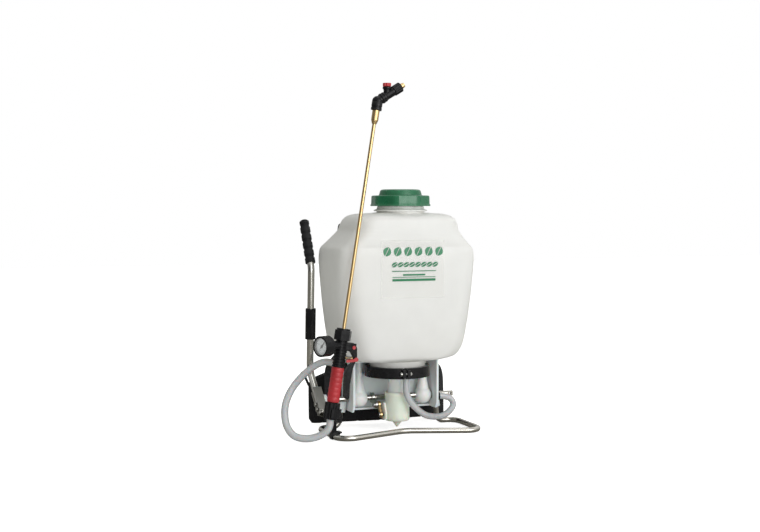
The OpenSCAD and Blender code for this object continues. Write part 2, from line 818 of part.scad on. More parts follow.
module valve_body() {
    ear_in = trigger_w / 2 + 0.5;
    color([0.1, 0.1, 0.11]) difference() {
        union() {
            on_wand() {
                disc(valve_core_r, 30, valve_grip_to + 2);
                translate([0, 0, valve_grip_to + 0.5])
                    ribbed_sleeve(valve_neck_r - 1.2, valve_neck_r, 1, valve_neck_to - valve_grip_to - 0.5, 9);
                for (side = [-1, 1])
                    translate([2, side * (ear_in + 1.5) - 1.5, pivot_s - 9]) cube([pivot_x + 3, 3, 18]);
            }
            on_gauge() disc(9, 6, gauge_face - 32);
        }
        on_wand() {
            disc(3, 28, valve_neck_to + over);
            disc(wand_r + 2, valve_neck_to - 8, valve_neck_to + over);
            along_x(0, 0, stem_s) cylinder(r = 2.5 + run, h = 20);
            along_y(pivot_x, -20, pivot_s) cylinder(r = 2 + snug, h = 40);
        }
        on_gauge() disc(6 + snug, 8, gauge_face - 30);
    }
}

module valve_grip() {
    color([0.78, 0.13, 0.16]) on_wand() translate([0, 0, hose_nut_len + 1.5])
        ribbed_sleeve(13, 13.8, valve_core_r + snug, valve_grip_to - hose_nut_len - 1.5, 7);
}

module hose_nut() {
    color([0.1, 0.1, 0.11]) on_wand() difference() {
        linear_extrude(hose_nut_len) polygon(lobed(17, 1.6, 12, 96));
        disc(valve_core_r + run, 29.5, hose_nut_len + over);
        disc(hose_r + 0.6, -over, 29.4);
    }
}

module wand_nut() {
    color([0.1, 0.1, 0.11]) on_wand() difference() {
        union() {
            translate([0, 0, valve_neck_to + 0.3]) cylinder(r = 19.5, h = 22, $fn = 6);
            disc(15, valve_neck_to + 22, wand_nut_to);
        }
        disc(wand_r + run, valve_neck_to - over, wand_nut_to + over);
    }
}

module valve_trigger() {
    outline = [[20, 168], [30, 169], [35, 160], [38, 140], [32, 114], [31, 80], [34, 50], [30, 46],
               [23, 52], [19, 80], [17.5, 108], [22, 118], [28.6, 126], [29.9, 142], [20, 154]];
    color([0.1, 0.1, 0.11]) on_wand() difference() {
        translate([0, trigger_w / 2, 0]) rotate([90, 0, 0]) linear_extrude(trigger_w) polygon(outline);
        along_y(pivot_x, -20, pivot_s) cylinder(r = 2 + run, h = 40);
        along_y(33.5, -20, stem_s) cylinder(r = 1.5 + run, h = 30);
    }
}

module trigger_pivot() {
    color([0.78, 0.13, 0.16]) on_wand() along_y(pivot_x, 0, pivot_s) {
        disc(2, -12.5, 12.5);
        disc(4, -12.5, -10.6);
    }
}

// Red hook that turns on a pin in the trigger and holds it squeezed
module trigger_lock() {
    color([0.78, 0.13, 0.16]) on_wand() {
        along_y(33.5, 0, stem_s) {
            disc(1.5, -16, 8);
            disc(4.5, -16.8, -14.4);
        }
        translate([12, -16.6, stem_s - 9]) rotate([0, -12, 0]) cube([22, 2, 6]);
    }
}

module valve_stem() {
    color("goldenrod") on_wand() along_x(0, 0, stem_s) {
        disc(2.5, 5, 28.8);
        disc(4.6, 26.6, 28.8);
    }
}

module valve_spring() {
    turns = 5;
    steps = 14;
    from = 14.6;
    length = 11.4;
    coil = [for (i = [0:turns * steps])
        [3.6 * cos(360 * i / steps), 3.6 * sin(360 * i / steps), from + length * i / (turns * steps)]];
    color("silver") on_wand() along_x(0, 0, stem_s) sweep(coil, ring_of(0.5, 6), [0.01, 0.02, 1]);
}

// --- Gauge -------------------------------------------------------------------

module on_gauge() { translate([gauge_x, wand_foot[1], gauge_z]) rotate([0, 90, gauge_turn]) children(); }

module gauge_case() {
    color([0.1, 0.1, 0.11]) on_gauge() difference() {
        union() {
            disc(gauge_r, gauge_face - 25, gauge_face);
            disc(14, gauge_face - 31.9, gauge_face - 24);
            disc(6, 9, gauge_face - 24);
        }
        disc(gauge_r - 4, gauge_face - 10, gauge_face + over);
        disc(1.5, 8, gauge_face);
    }
}

module gauge_dial() {
    color("white") on_gauge() difference() {
        disc(gauge_r - 4.05, gauge_face - 7, gauge_face - 6);
        disc(1.2, gauge_face - 8, gauge_face);
    }
}

module gauge_needle() {
    color("black") on_gauge() rotate(needle_turn) {
        disc(1.15, gauge_face - 7.5, gauge_face - 4.2);
        disc(2.4, gauge_face - 5.5, gauge_face - 4.2);
        translate([-5, -0.6, gauge_face - 5.2]) cube([19, 1.2, 0.6]);
    }
}

module gauge_lens() {
    color("lightcyan", 0.4) on_gauge() disc(gauge_r - 4.05, gauge_face - 2.4, gauge_face - 0.8);
}

// --- Wand and nozzle -----------------------------------------------------------

module on_nozzle() { translate(elbow) rotate([0, nozzle_tilt, 0]) children(); }

module wand_tube() {
    color("goldenrod") on_wand() difference() {
        union() {
            disc(wand_r, valve_neck_to - 6, wand_to);
            translate([0, 0, 650]) cylinder(r1 = wand_r + 1, r2 = 8, h = 9);
            disc(8, 659, 680);
        }
        disc(wand_r - 1.2, valve_neck_to - 7, wand_to + over);
    }
}

module nozzle_body() {
    color([0.1, 0.1, 0.11]) difference() {
        union() {
            on_wand() disc(12, 680.2, elbow_at);
            translate(elbow) sphere(r = 12);
            on_nozzle() {
                disc(10, 0, spigot_from);
                disc(8, spigot_from - over, spigot_to);
            }
            translate([knob_x, wand_foot[1], 756]) cylinder(r = 8, h = knob_from - 756.4);
        }
        on_wand() disc(wand_r + snug, 679, wand_to + 0.1);
        on_wand() disc(2.5, 690, elbow_at);
        on_nozzle() disc(2.5, 0, spigot_to + over);
        translate([knob_x, wand_foot[1], knob_from - 10]) cylinder(r = 2 + run, h = 12);
    }
}

module selector_knob() {
    color([0.78, 0.13, 0.16]) translate([knob_x, wand_foot[1], knob_from]) {
        linear_extrude(7.5) polygon(lobed(9.5, 1.2, 10, 80));
        translate([0, 0, -9.5]) cylinder(r = 2, h = 10);
    }
}

module nozzle_cap() {
    color([0.1, 0.1, 0.11]) on_nozzle() difference() {
        translate([0, 0, spigot_from + 0.5]) linear_extrude(19) polygon(lobed(11.5, 0.8, 18, 108));
        disc(8 + run, spigot_from, 59.5);
        disc(5 + snug, 59, 64);
    }
}

module nozzle_tip() {
    color("goldenrod") on_nozzle() difference() {
        union() {
            disc(7.5, spigot_to + 0.6, 59.4);
            disc(5, 59, 73);
            disc(6, 63.7, 70);
        }
        disc(3, spigot_to, 68);
        disc(0.8, 67, 74);
    }
}

module in_frame() { translate([0, -origin_y, 0]) children(); }

in_frame() tank();
in_frame() tank_label();
in_frame() tank_cap();
in_frame() cap_gasket();
in_frame() vent_valve();
in_frame() filler_strainer();
in_frame() sump_gasket();
in_frame() pressure_chamber();
in_frame() base_frame();
in_frame() base_screws();
in_frame() clamp_ring();
in_frame() clamp_bolt();
in_frame() foot_frame();
in_frame() wand_clip();
in_frame() lumbar_pad();
in_frame() back_plate();
in_frame() strap_brackets();
in_frame() shoulder_straps();
in_frame() strap_webbing();
in_frame() strap_buckles();
in_frame() pump_barrel();
in_frame() piston_seal();
in_frame() pump_cup();
in_frame() inlet_ball();
in_frame() outlet_ball();
in_frame() bearing_left();
in_frame() bearing_right();
in_frame() pump_shaft();
in_frame() shaft_bush();
in_frame() shaft_retainers();
in_frame() crank_arm();
in_frame() crank_pin();
in_frame() pump_link();
in_frame() link_pin();
in_frame() lever_bracket();
in_frame() lever_tube();
in_frame() lever_bolts();
in_frame() lever_sleeve();
in_frame() lever_grip();
in_frame() hose_main();
in_frame() hose_side();
in_frame() hose_fittings();
in_frame() valve_body();
in_frame() valve_grip();
in_frame() hose_nut();
in_frame() wand_nut();
in_frame() valve_trigger();
in_frame() trigger_pivot();
in_frame() trigger_lock();
in_frame() valve_stem();
in_frame() valve_spring();
in_frame() gauge_case();
in_frame() gauge_dial();
in_frame() gauge_needle();
in_frame() gauge_lens();
in_frame() wand_tube();
in_frame() nozzle_body();
in_frame() selector_knob();
in_frame() nozzle_cap();
in_frame() nozzle_tip();
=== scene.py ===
"""Looks of the backpack sprayer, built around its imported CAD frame. Metres unless a name says mm."""
import json
import math

import bpy
import numpy as np
from mathutils import Matrix, Vector


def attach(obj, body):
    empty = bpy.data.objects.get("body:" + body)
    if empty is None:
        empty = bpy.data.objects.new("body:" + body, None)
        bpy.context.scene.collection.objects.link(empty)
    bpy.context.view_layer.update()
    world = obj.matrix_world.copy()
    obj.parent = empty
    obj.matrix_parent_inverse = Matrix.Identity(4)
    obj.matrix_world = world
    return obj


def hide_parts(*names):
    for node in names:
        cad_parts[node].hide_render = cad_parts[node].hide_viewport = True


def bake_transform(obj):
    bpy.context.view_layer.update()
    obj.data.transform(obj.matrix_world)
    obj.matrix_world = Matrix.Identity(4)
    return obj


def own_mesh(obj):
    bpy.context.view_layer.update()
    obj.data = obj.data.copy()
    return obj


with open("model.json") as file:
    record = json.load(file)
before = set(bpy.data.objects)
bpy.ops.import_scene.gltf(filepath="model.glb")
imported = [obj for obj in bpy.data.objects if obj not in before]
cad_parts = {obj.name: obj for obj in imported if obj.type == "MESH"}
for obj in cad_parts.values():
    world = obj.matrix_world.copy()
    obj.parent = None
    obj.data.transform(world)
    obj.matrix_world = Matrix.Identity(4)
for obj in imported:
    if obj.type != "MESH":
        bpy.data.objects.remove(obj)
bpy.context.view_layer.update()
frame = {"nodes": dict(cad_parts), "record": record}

MM = 0.001
X, Y, Z = Vector((1, 0, 0)), Vector((0, 1, 0)), Vector((0, 0, 1))


# ---- materials

class Nodes:
    """Short calls that add nodes to one node tree."""

    def __init__(self, tree):
        self.tree = tree

    def node(self, kind, **settings):
        made = self.tree.nodes.new(kind)
        for key, value in settings.items():
            setattr(made, key, value)
        return made

    def link(self, a, b):
        self.tree.links.new(a, b)

    def feed(self, sockets, values):
        """Sets each socket to its number or colour, or links it to its socket."""
        for socket, value in zip(sockets, values):
            if isinstance(value, (int, float, tuple)):
                socket.default_value = value
            else:
                self.link(value, socket)

    def math(self, operation, *values):
        box = self.node("ShaderNodeMath", operation=operation)
        self.feed(box.inputs, values)
        return box.outputs["Value"]

    def ramp(self, value, stops):
        """A ramp through stops of (place, colour or grey level)."""
        ramp = self.node("ShaderNodeValToRGB")
        elements = ramp.color_ramp.elements
        while len(elements) < len(stops):
            elements.new(0.5)
        for element, (at, color) in zip(elements, stops):
            element.position = at
            element.color = (*color, 1) if isinstance(color, tuple) else (color, color, color, 1)
        self.link(value, ramp.inputs["Fac"])
        return ramp.outputs["Color"]

    def mix(self, share, a, b, kind="MIX"):
        box = self.node("ShaderNodeMix", data_type="RGBA", blend_type=kind)
        colors = [(*c, 1) if isinstance(c, tuple) else c for c in (a, b)]
        self.feed((box.inputs["Factor"], box.inputs[6], box.inputs[7]), (share, *colors))
        return box.outputs[2]


class Shader(Nodes):
    """A node material with one Principled shader."""

    def __init__(self, name, color, rough, metallic=0.0, **inputs):
        self.material = bpy.data.materials.new(name)
        self.material.use_nodes = True
        super().__init__(self.material.node_tree)
        self.bsdf = self.tree.nodes["Principled BSDF"]
        self.bsdf.inputs["Base Color"].default_value = (*color, 1)
        self.bsdf.inputs["Roughness"].default_value = rough
        self.bsdf.inputs["Metallic"].default_value = metallic
        for key, value in inputs.items():
            self.bsdf.inputs[key.replace("_", " ")].default_value = value
        self.place = self.node("ShaderNodeTexCoord").outputs["Object"]
        self.normal = None

    def stretched(self, scale):
        mapping = self.node("ShaderNodeMapping")
        mapping.inputs["Scale"].default_value = scale
        self.link(self.place, mapping.inputs["Vector"])
        return mapping.outputs["Vector"]

    def noise(self, scale, detail=4.0, stretch=None):
        noise = self.node("ShaderNodeTexNoise")
        noise.inputs["Scale"].default_value = scale
        noise.inputs["Detail"].default_value = detail
        self.link(self.stretched(stretch) if stretch else self.place, noise.inputs["Vector"])
        return noise.outputs["Fac"]

    def remap(self, value, low, high, to_low, to_high):
        box = self.node("ShaderNodeMapRange")
        for key, number in (("From Min", low), ("From Max", high), ("To Min", to_low), ("To Max", to_high)):
            box.inputs[key].default_value = number
        self.link(value, box.inputs["Value"])
        return box.outputs["Result"]

    def color(self, value):
        self.link(value, self.bsdf.inputs["Base Color"])

    def rough(self, value):
        self.link(value, self.bsdf.inputs["Roughness"])

    def bump(self, height, distance, strength=1.0):
        box = self.node("ShaderNodeBump")
        box.inputs["Strength"].default_value = strength
        box.inputs["Distance"].default_value = distance
        self.link(height, box.inputs["Height"])
        if self.normal:
            self.link(self.normal, box.inputs["Normal"])
        self.normal = box.outputs["Normal"]
        self.link(self.normal, self.bsdf.inputs["Normal"])

    def edge_wear(self, base, worn, amount):
        """Mixes worn into base where the surface is sharply convex."""
        geometry = self.node("ShaderNodeNewGeometry")
        convex = self.remap(geometry.outputs["Pointiness"], 0.52, 0.60, 0.0, amount)
        return self.mix(convex, base, worn)


def moulded(name, color, rough, grain, depth, mottle, worn, **inputs):
    """Moulded plastic: faint cloudiness, a fine moulded grain and paler rubbed edges."""
    s = Shader(name, color, rough, **inputs)
    cloud = s.noise(22.0, 5.0)
    dark = tuple(c * (1 - mottle) for c in color)
    light = tuple(min(1.0, c * (1 + mottle) + 0.004) for c in color)
    base = s.ramp(cloud, [(0.3, dark), (0.7, light)])
    rubbed = tuple(min(1.0, c * 1.25 + 0.05) for c in color)
    s.color(s.edge_wear(base, rubbed, worn))
    s.rough(s.remap(s.noise(60.0, 6.0), 0.3, 0.7, rough - 0.07, rough + 0.09))
    s.bump(s.noise(grain, 2.0), depth * MM)
    return s


def tank_plastic():
    """Milky blow-moulded polyethylene: light passes into it, with a soft orange-peel surface."""
    s = moulded("tank_plastic", (0.80, 0.80, 0.765), 0.40, 260.0, 0.05, 0.015, 0.1,
                Subsurface_Weight=0.30, Subsurface_Scale=0.02)
    s.bsdf.inputs["Subsurface Radius"].default_value = (1.0, 0.97, 0.88)
    s.bsdf.inputs["Specular IOR Level"].default_value = 0.35
    # darker, yellower vertical streaks that grow towards the tank's bottom
    height = s.node("ShaderNodeSeparateXYZ")
    s.link(s.place, height.inputs[0])
    low = s.remap(height.outputs["Z"], 0.17, 0.28, 1.0, 0.0)
    streaks = s.noise(9.0, 6.0, (1.0, 1.0, 0.25))
    low_streaks = s.math("MULTIPLY", low, s.remap(streaks, 0.35, 0.75, 0.0, 0.3))
    old = s.bsdf.inputs["Base Color"].links[0].from_socket
    s.color(s.mix(low_streaks, old, (0.74, 0.72, 0.65)))
    s.bump(s.noise(7.0, 2.0), 0.4 * MM, 0.3)
    return s.material


def clear_film():
    """The label's film: nearly clear, glossier than the tank it lies on."""
    s = Shader("clear_film", (0.93, 0.93, 0.91), 0.24, Alpha=0.16, IOR=1.45)
    s.rough(s.remap(s.noise(120.0, 4.0), 0.3, 0.7, 0.12, 0.26))
    s.bump(s.noise(40.0, 3.0), 0.06 * MM)
    return s.material


def print_ink():
    s = Shader("print_ink", (0.004, 0.17, 0.065), 0.42)
    speckle = s.noise(1500.0, 2.0)
    s.color(s.ramp(speckle, [(0.25, (0.003, 0.14, 0.05)), (0.75, (0.006, 0.19, 0.075))]))
    s.bump(s.noise(700.0, 2.0), 0.01 * MM)
    return s.material


def brushed(name, color, rough, direction, tarnish=None):
    """Drawn or polished metal: fine scratches along one direction and soft smudges."""
    s = Shader(name, color, rough, 1.0)
    stretch = tuple(1.0 if d else 14.0 for d in direction)
    lines = s.noise(60.0, 4.0, stretch)
    smudge = s.noise(10.0, 4.0)
    s.rough(s.math("ADD", s.remap(lines, 0.3, 0.7, rough - 0.03, rough + 0.04),
                   s.remap(smudge, 0.45, 0.75, 0.0, 0.10)))
    dull = tarnish or tuple(c * 0.72 for c in color)
    s.color(s.mix(s.remap(smudge, 0.42, 0.72, 0.0, 0.4), color, dull))
    s.bump(lines, 0.004 * MM)
    return s.material


def hose_plastic():
    """Milky clear hose, faintly cloudy, with painted shade: pale along its middle, greyer towards its edges.
    """
    s = Shader("hose_plastic", (0.60, 0.61, 0.62), 0.30, Subsurface_Weight=0.25, Subsurface_Scale=0.01,
               IOR=1.45)
    facing = s.node("ShaderNodeLayerWeight")
    facing.inputs["Blend"].default_value = 0.45
    cloudy = s.noise(30.0, 3.0)
    # painted shade: the colour greys where the hose wall is seen edge-on
    wall = s.ramp(facing.outputs["Facing"], [(0.10, (0.50, 0.51, 0.52)), (0.80, (0.30, 0.31, 0.32))])
    s.color(s.mix(s.remap(cloudy, 0.4, 0.7, 0.0, 0.2), wall, (0.62, 0.62, 0.61)))
    s.rough(s.remap(cloudy, 0.3, 0.7, 0.24, 0.36))
    s.bump(s.noise(260.0, 2.0), 0.01 * MM)
    return s.material


def weave(name, color, pitch_mm, depth_mm, rough, sheen):
    """Woven cloth: two crossed sets of threads, painted shade in the low gaps between them, and a few paler
    fibres.
    """
    s = Shader(name, color, rough, Sheen_Weight=sheen, Sheen_Roughness=0.45)
    scale = 1.0 / (pitch_mm * MM)
    waves = []
    for axis in ("X", "Z"):
        wave = s.node("ShaderNodeTexWave", wave_type="BANDS", bands_direction=axis)
        wave.inputs["Scale"].default_value = scale / 6.3
        wave.inputs["Distortion"].default_value = 0.6
        wave.inputs["Detail"].default_value = 1.0
        s.link(s.place, wave.inputs["Vector"])
        waves.append(wave.outputs["Fac"])
    threads = s.math("MAXIMUM", *waves)
    fibre = s.noise(900.0, 3.0)
    pale = tuple(min(1.0, c * 2.4 + 0.012) for c in color)
    # painted shade: darker where the threads are low, in the gaps of the weave
    dark = tuple(c * 0.55 for c in color)
    base = s.mix(threads, dark, color)
    s.color(s.mix(s.remap(fibre, 0.55, 0.8, 0.0, 0.5), base, pale))
    s.rough(s.remap(fibre, 0.3, 0.7, rough - 0.1, min(1.0, rough + 0.1)))
    s.bump(threads, depth_mm * MM)
    return s.material


def glass_clear():
    s = Shader("glass_clear", (0.96, 0.98, 0.98), 0.04, Alpha=0.16, IOR=1.45, Coat_Weight=0.4)
    s.rough(s.remap(s.noise(90.0, 4.0), 0.45, 0.8, 0.03, 0.14))
    return s.material


# colour, roughness, the grain's scale, its depth in mm, how mottled it is, how worn its edges are
MOULDED = {
    "cap_green": ((0.008, 0.128, 0.052), 0.30, 700.0, 0.02, 0.12, 0.8),
    "rubber_black": ((0.006, 0.006, 0.007), 0.55, 1400.0, 0.05, 0.2, 0.3),
    "white_plastic": ((0.84, 0.855, 0.84), 0.40, 500.0, 0.03, 0.04, 0.2),
    "base_plastic": ((0.76, 0.82, 0.83), 0.40, 420.0, 0.04, 0.05, 0.3),
    "cream_plastic": ((0.86, 0.85, 0.74), 0.38, 420.0, 0.04, 0.05, 0.2),
    "black_plastic": ((0.005, 0.005, 0.006), 0.25, 1100.0, 0.03, 0.2, 0.3),
    "grip_red": ((0.40, 0.016, 0.022), 0.44, 900.0, 0.05, 0.12, 0.6),
    "dial_white": ((0.88, 0.91, 0.95), 0.5, 900.0, 0.01, 0.02, 0.0),
    "dial_ink": ((0.12, 0.125, 0.14), 0.5, 900.0, 0.01, 0.1, 0.0),
    "thread": ((0.03, 0.03, 0.034), 0.8, 2600.0, 0.08, 0.3, 0.0),
}
# further shader inputs of the moulded materials
MOULDED_INPUTS = {
    "white_plastic": {"Subsurface_Weight": 0.3, "Subsurface_Scale": 0.012},
    "base_plastic": {"Subsurface_Weight": 0.2, "Subsurface_Scale": 0.012},
    "cream_plastic": {"Subsurface_Weight": 0.4, "Subsurface_Scale": 0.012},
    "black_plastic": {"Specular_IOR_Level": 0.16},
    "rubber_black": {"Specular_IOR_Level": 0.18},
}
# colour, roughness, the direction of the scratches and, for some, the tarnish
BRUSHED = {
    "steel": ((0.40, 0.40, 0.38), 0.30, (1, 0, 0)),
    "stainless": ((0.53, 0.515, 0.47), 0.22, (1, 0, 0), (0.40, 0.375, 0.33)),
    "chrome": ((0.64, 0.63, 0.59), 0.15, (0, 0, 1), (0.44, 0.43, 0.39)),
    "brass": ((0.62, 0.45, 0.22), 0.32, (1, 1, 1), (0.50, 0.34, 0.15)),
}


def make_materials():
    """Every material, under the name that the record's slots or this script's pieces use."""
    made = {"tank_plastic": tank_plastic(), "label": clear_film(), "ink": print_ink(),
            "hose_pvc": hose_plastic(), "lens_glass": glass_clear(),
            "black_fabric": weave("black_fabric", (0.003, 0.003, 0.004), 1.1, 0.10, 0.85, 0.04),
            "webbing": weave("webbing", (0.006, 0.006, 0.007), 1.6, 0.16, 0.8, 0.08)}
    for name, row in MOULDED.items():
        made[name] = moulded(name, *row, **MOULDED_INPUTS.get(name, {})).material
    for name, row in BRUSHED.items():
        made[name] = brushed(name, *row)
    return made


# ---- mesh helpers

def mm(*p):
    return Vector(p) * MM


def mm_path(points):
    return [mm(*p) for p in points]


def add_object(name, data):
    obj = bpy.data.objects.new(name, data)
    bpy.context.scene.collection.objects.link(obj)
    return obj


def add_mesh(name, points, faces, material, sharp=35.0):
    mesh = bpy.data.meshes.new(name)
    mesh.from_pydata([tuple(p) for p in points], [], faces)
    mesh.validate()
    mesh.polygons.foreach_set("use_smooth", [True] * len(mesh.polygons))
    mesh.set_sharp_from_angle(angle=math.radians(sharp))
    mesh.materials.append(material)
    return add_object(name, mesh)


def ring_faces(rows, cols, wrap=False):
    """Quads between closed rows of cols points. wrap also joins the last row to the first."""
    count = rows if wrap else rows - 1
    return [(i * cols + j, i * cols + (j + 1) % cols, (i + 1) % rows * cols + (j + 1) % cols,
             (i + 1) % rows * cols + j) for i in range(count) for j in range(cols)]


def loft(name, rings, material, wrap=False, sharp=35.0):
    """A skin over rings of points, closed by flat ends or, with wrap, by joining its two ends."""
    cols = len(rings[0])
    faces = ring_faces(len(rings), cols, wrap)
    if not wrap:
        last = (len(rings) - 1) * cols
        faces += [tuple(range(cols - 1, -1, -1)), tuple(range(last, last + cols))]
    return add_mesh(name, [p for ring in rings for p in ring], faces, material, sharp)


def circle(radius, sides):
    angles = [2 * math.pi * k / sides for k in range(sides)]
    return [(radius * math.cos(a), radius * math.sin(a)) for a in angles]


LEAST_R = 0.01  # a profile point on the axis stands this far off it, in mm


def revolve(name, profile_mm, place, material, sides=64, sharp=30.0):
    """A closed solid of revolution. profile_mm is a list of (radius, height), going round."""
    rings = [[place @ Vector((x, y, h * MM)) for x, y in circle(max(r, LEAST_R) * MM, sides)]
             for r, h in profile_mm]
    return loft(name, rings, material, wrap=True, sharp=sharp)


def arc(cx, cy, r, start, end, steps):
    """Points of an arc in a profile, angles in degrees."""
    return [(cx + r * math.cos(math.radians(start + (end - start) * k / steps)),
             cy + r * math.sin(math.radians(start + (end - start) * k / steps))) for k in range(steps + 1)]


def curve_through(points, steps):
    """A smooth curve through the points."""
    p = [Vector(q) for q in points]
    made = []
    for i in range(len(p) - 1):
        a, b, c, d = p[max(i - 1, 0)], p[i], p[i + 1], p[min(i + 2, len(p) - 1)]
        for k in range(steps):
            t = k / steps
            made.append(0.5 * (2 * b + (c - a) * t + (2 * a - 5 * b + 4 * c - d) * t * t
                               + (3 * b - a - 3 * c + d) * t ** 3))
    return made + [p[-1]]


def bent(points, radii, steps=14):
    """Straight runs joined by arcs of the given radii."""
    p = [Vector(q) for q in points]
    made = [p[0]]
    for a, b, c, r in zip(p, p[1:], p[2:], radii):
        u, v = (a - b).normalized(), (c - b).normalized()
        half = u.angle(v) / 2
        centre = b + (u + v).normalized() * r / math.sin(half)
        side = (b + u * r / math.tan(half) - centre).normalized()
        for k in range(steps + 1):
            angle = k * (math.pi - 2 * half) / steps
            made.append(centre + r * (side * math.cos(angle) - u * math.sin(angle)))
    return made + [p[-1]]


def tangents_along(path):
    last = len(path) - 1
    return [(path[min(i + 1, last)] - path[max(i - 1, 0)]).normalized() for i in range(last + 1)]


def frames_along(path):
    """A turning frame at each point of the path that doesn't twist."""
    tangents = tangents_along(path)
    u = tangents[0].orthogonal().normalized()
    made = []
    for t in tangents:
        u = (u - t * u.dot(t)).normalized()
        made.append((u, t.cross(u)))
    return made


def sweep(name, path, outline, material, up, sharp=35.0):
    """The outline, a list of (side, rise), carried along the path with its sides towards up."""
    rings = []
    for p, t in zip(path, tangents_along(path)):
        u = (up - t * up.dot(t)).normalized()
        v = t.cross(u)
        rings.append([p + u * a + v * b for a, b in outline])
    return loft(name, rings, material, sharp=sharp)


def tube(name, path, radius, bore, material, sides=40):
    """A round tube, open right through."""
    frames = frames_along(path)
    outer, inner = ([[p + u * a + v * b for a, b in circle(r, sides)] for p, (u, v) in zip(path, frames)]
                    for r in (radius, bore))
    return loft(name, outer + inner[::-1], material, wrap=True)


def block(name, low_mm, high_mm, material, place, bevel_mm):
    """A rectangular moulding with rounded edges."""
    lo, hi = mm(*low_mm), mm(*high_mm)
    corners = ((lo.x, lo.y), (hi.x, lo.y), (hi.x, hi.y), (lo.x, hi.y))
    points = [place @ Vector((x, y, z)) for z in (lo.z, hi.z) for x, y in corners]
    faces = [(3, 2, 1, 0), (4, 5, 6, 7), (0, 1, 5, 4), (1, 2, 6, 5), (2, 3, 7, 6), (3, 0, 4, 7)]
    obj = add_mesh(name, points, faces, material)
    round_edges(obj, bevel_mm, 3)
    return obj


def round_edges(obj, width_mm, segments=2, angle=32.0):
    bevel = obj.modifiers.new("round", "BEVEL")
    bevel.width = width_mm * MM
    bevel.segments = segments
    bevel.limit_method = "ANGLE"
    bevel.angle_limit = math.radians(angle)
    bevel.use_clamp_overlap = True
    normals = obj.modifiers.new("normals", "WEIGHTED_NORMAL")
    normals.keep_sharp = True


def apply_modifiers(obj):
    bpy.context.view_layer.update()
    graph = bpy.context.evaluated_depsgraph_get()
    mesh = bpy.data.meshes.new_from_object(obj.evaluated_get(graph))
    obj.modifiers.clear()
    obj.data = mesh


def join(name, parts):
    """One piece out of several meshes that may overlap."""
    for o in parts:
        apply_modifiers(o)
    made = parts[0]
    with bpy.context.temp_override(active_object=made, selected_editable_objects=parts,
                                   selected_objects=parts):
        bpy.ops.object.join()
    made.name = made.data.name = name
    return made


def piece(obj, body, slot, *nodes):
    """Puts a finished piece in the frame on its body, and hides the CAD nodes it stands for. Its slot is not
    used.
    """
    obj.data.transform(TO_FRAME)
    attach(obj, body)
    if nodes:
        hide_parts(*nodes)
    return obj


# ---- places shared with the CAD frame

# everything is drawn about the tank's middle, 95 mm in front of the frame's origin
TANK_TO_ORIGIN = -0.095
TO_FRAME = Matrix.Translation((0, TANK_TO_ORIGIN, 0))
WAND_FOOT = mm(-197, -110, 54)
WAND_TILT = math.radians(9.02)
ON_WAND = Matrix.Translation(WAND_FOOT) @ Matrix.Rotation(WAND_TILT, 4, "Y")
GAUGE_Z = 0.216
GAUGE_ORIGIN = Vector((WAND_FOOT.x + (GAUGE_Z - WAND_FOOT.z) * math.tan(WAND_TILT), WAND_FOOT.y, GAUGE_Z))
ON_GAUGE = (Matrix.Translation(GAUGE_ORIGIN) @ Matrix.Rotation(math.radians(205), 4, "Z")
            @ Matrix.Rotation(math.radians(90), 4, "Y"))
ELBOW = ON_WAND @ mm(0, 0, 700)
ON_NOZZLE = Matrix.Translation(ELBOW) @ Matrix.Rotation(math.radians(58.5), 4, "Y")
NECK = Matrix.Translation(mm(0, -28, 0))
PUMP = Matrix.Translation(mm(0, -8, 0))


# ---- tank

# height, half-width, half-depth, how far the corners are cut back
TANK_ROWS = [
    (165, 106, 62, 44), (166, 115, 68, 46), (168, 125, 73, 47), (174, 137, 80, 48), (190, 148, 86, 48),
    (210, 153, 90, 46), (250, 158, 94, 42), (300, 162, 97, 36), (350, 164, 99, 28), (392, 165, 100, 22),
    (410, 163.5, 100, 20), (422, 160, 99, 20), (435, 148, 97, 22), (450, 135, 93, 24), (462, 127, 88, 26),
    (478, 123, 83, 26), (488, 118, 79, 26), (496, 108, 71, 26), (500, 93, 60, 26)]
TANK_LOW, TANK_HIGH = 165, 500
# near the top the back slopes forward: height, and where the tank's middle is
TANK_LEAN = [(425, 0), (450, -7), (462, -12), (478, -16), (488, -18), (500, -18)]
TANK_SIDES = 144
CORNER_SHARPNESS, CORNER_SLANT = 24, 1.25
NECK_R, NECK_Y = 53.5, -28.0
# from here up, over the given rise, the tank's outline swells to take in the neck
SWELL_FROM, SWELL_RISE, SWELL_START = 450, 32, 0.7
SWELL_SHARPNESS = 14


def tank_size(z):
    """Half-width, half-depth and corner cut of the tank at height z, smooth between the rows."""
    zs = [r[0] for r in TANK_ROWS]
    i = max(0, min(len(zs) - 2, int(np.searchsorted(zs, z)) - 1))
    h = zs[i + 1] - zs[i]
    t = (z - zs[i]) / h
    made = []
    for k in (1, 2, 3):
        values = [r[k] for r in TANK_ROWS]

        def slope(j):
            a, b = max(j - 1, 0), min(j + 1, len(zs) - 1)
            return (values[b] - values[a]) / (zs[b] - zs[a])
        made.append((2 * t ** 3 - 3 * t ** 2 + 1) * values[i] + (t ** 3 - 2 * t ** 2 + t) * h * slope(i)
                    + (-2 * t ** 3 + 3 * t ** 2) * values[i + 1] + (t ** 3 - t ** 2) * h * slope(i + 1))
    return made


def tank_middle(z):
    return float(np.interp(z, *zip(*TANK_LEAN)))


def neck_reach(angle, radius, neck_y):
    """How far the round neck reaches in one direction from a point neck_y behind its axis."""
    side = neck_y * math.sin(angle)
    return side + math.sqrt(side * side - neck_y ** 2 + radius ** 2)


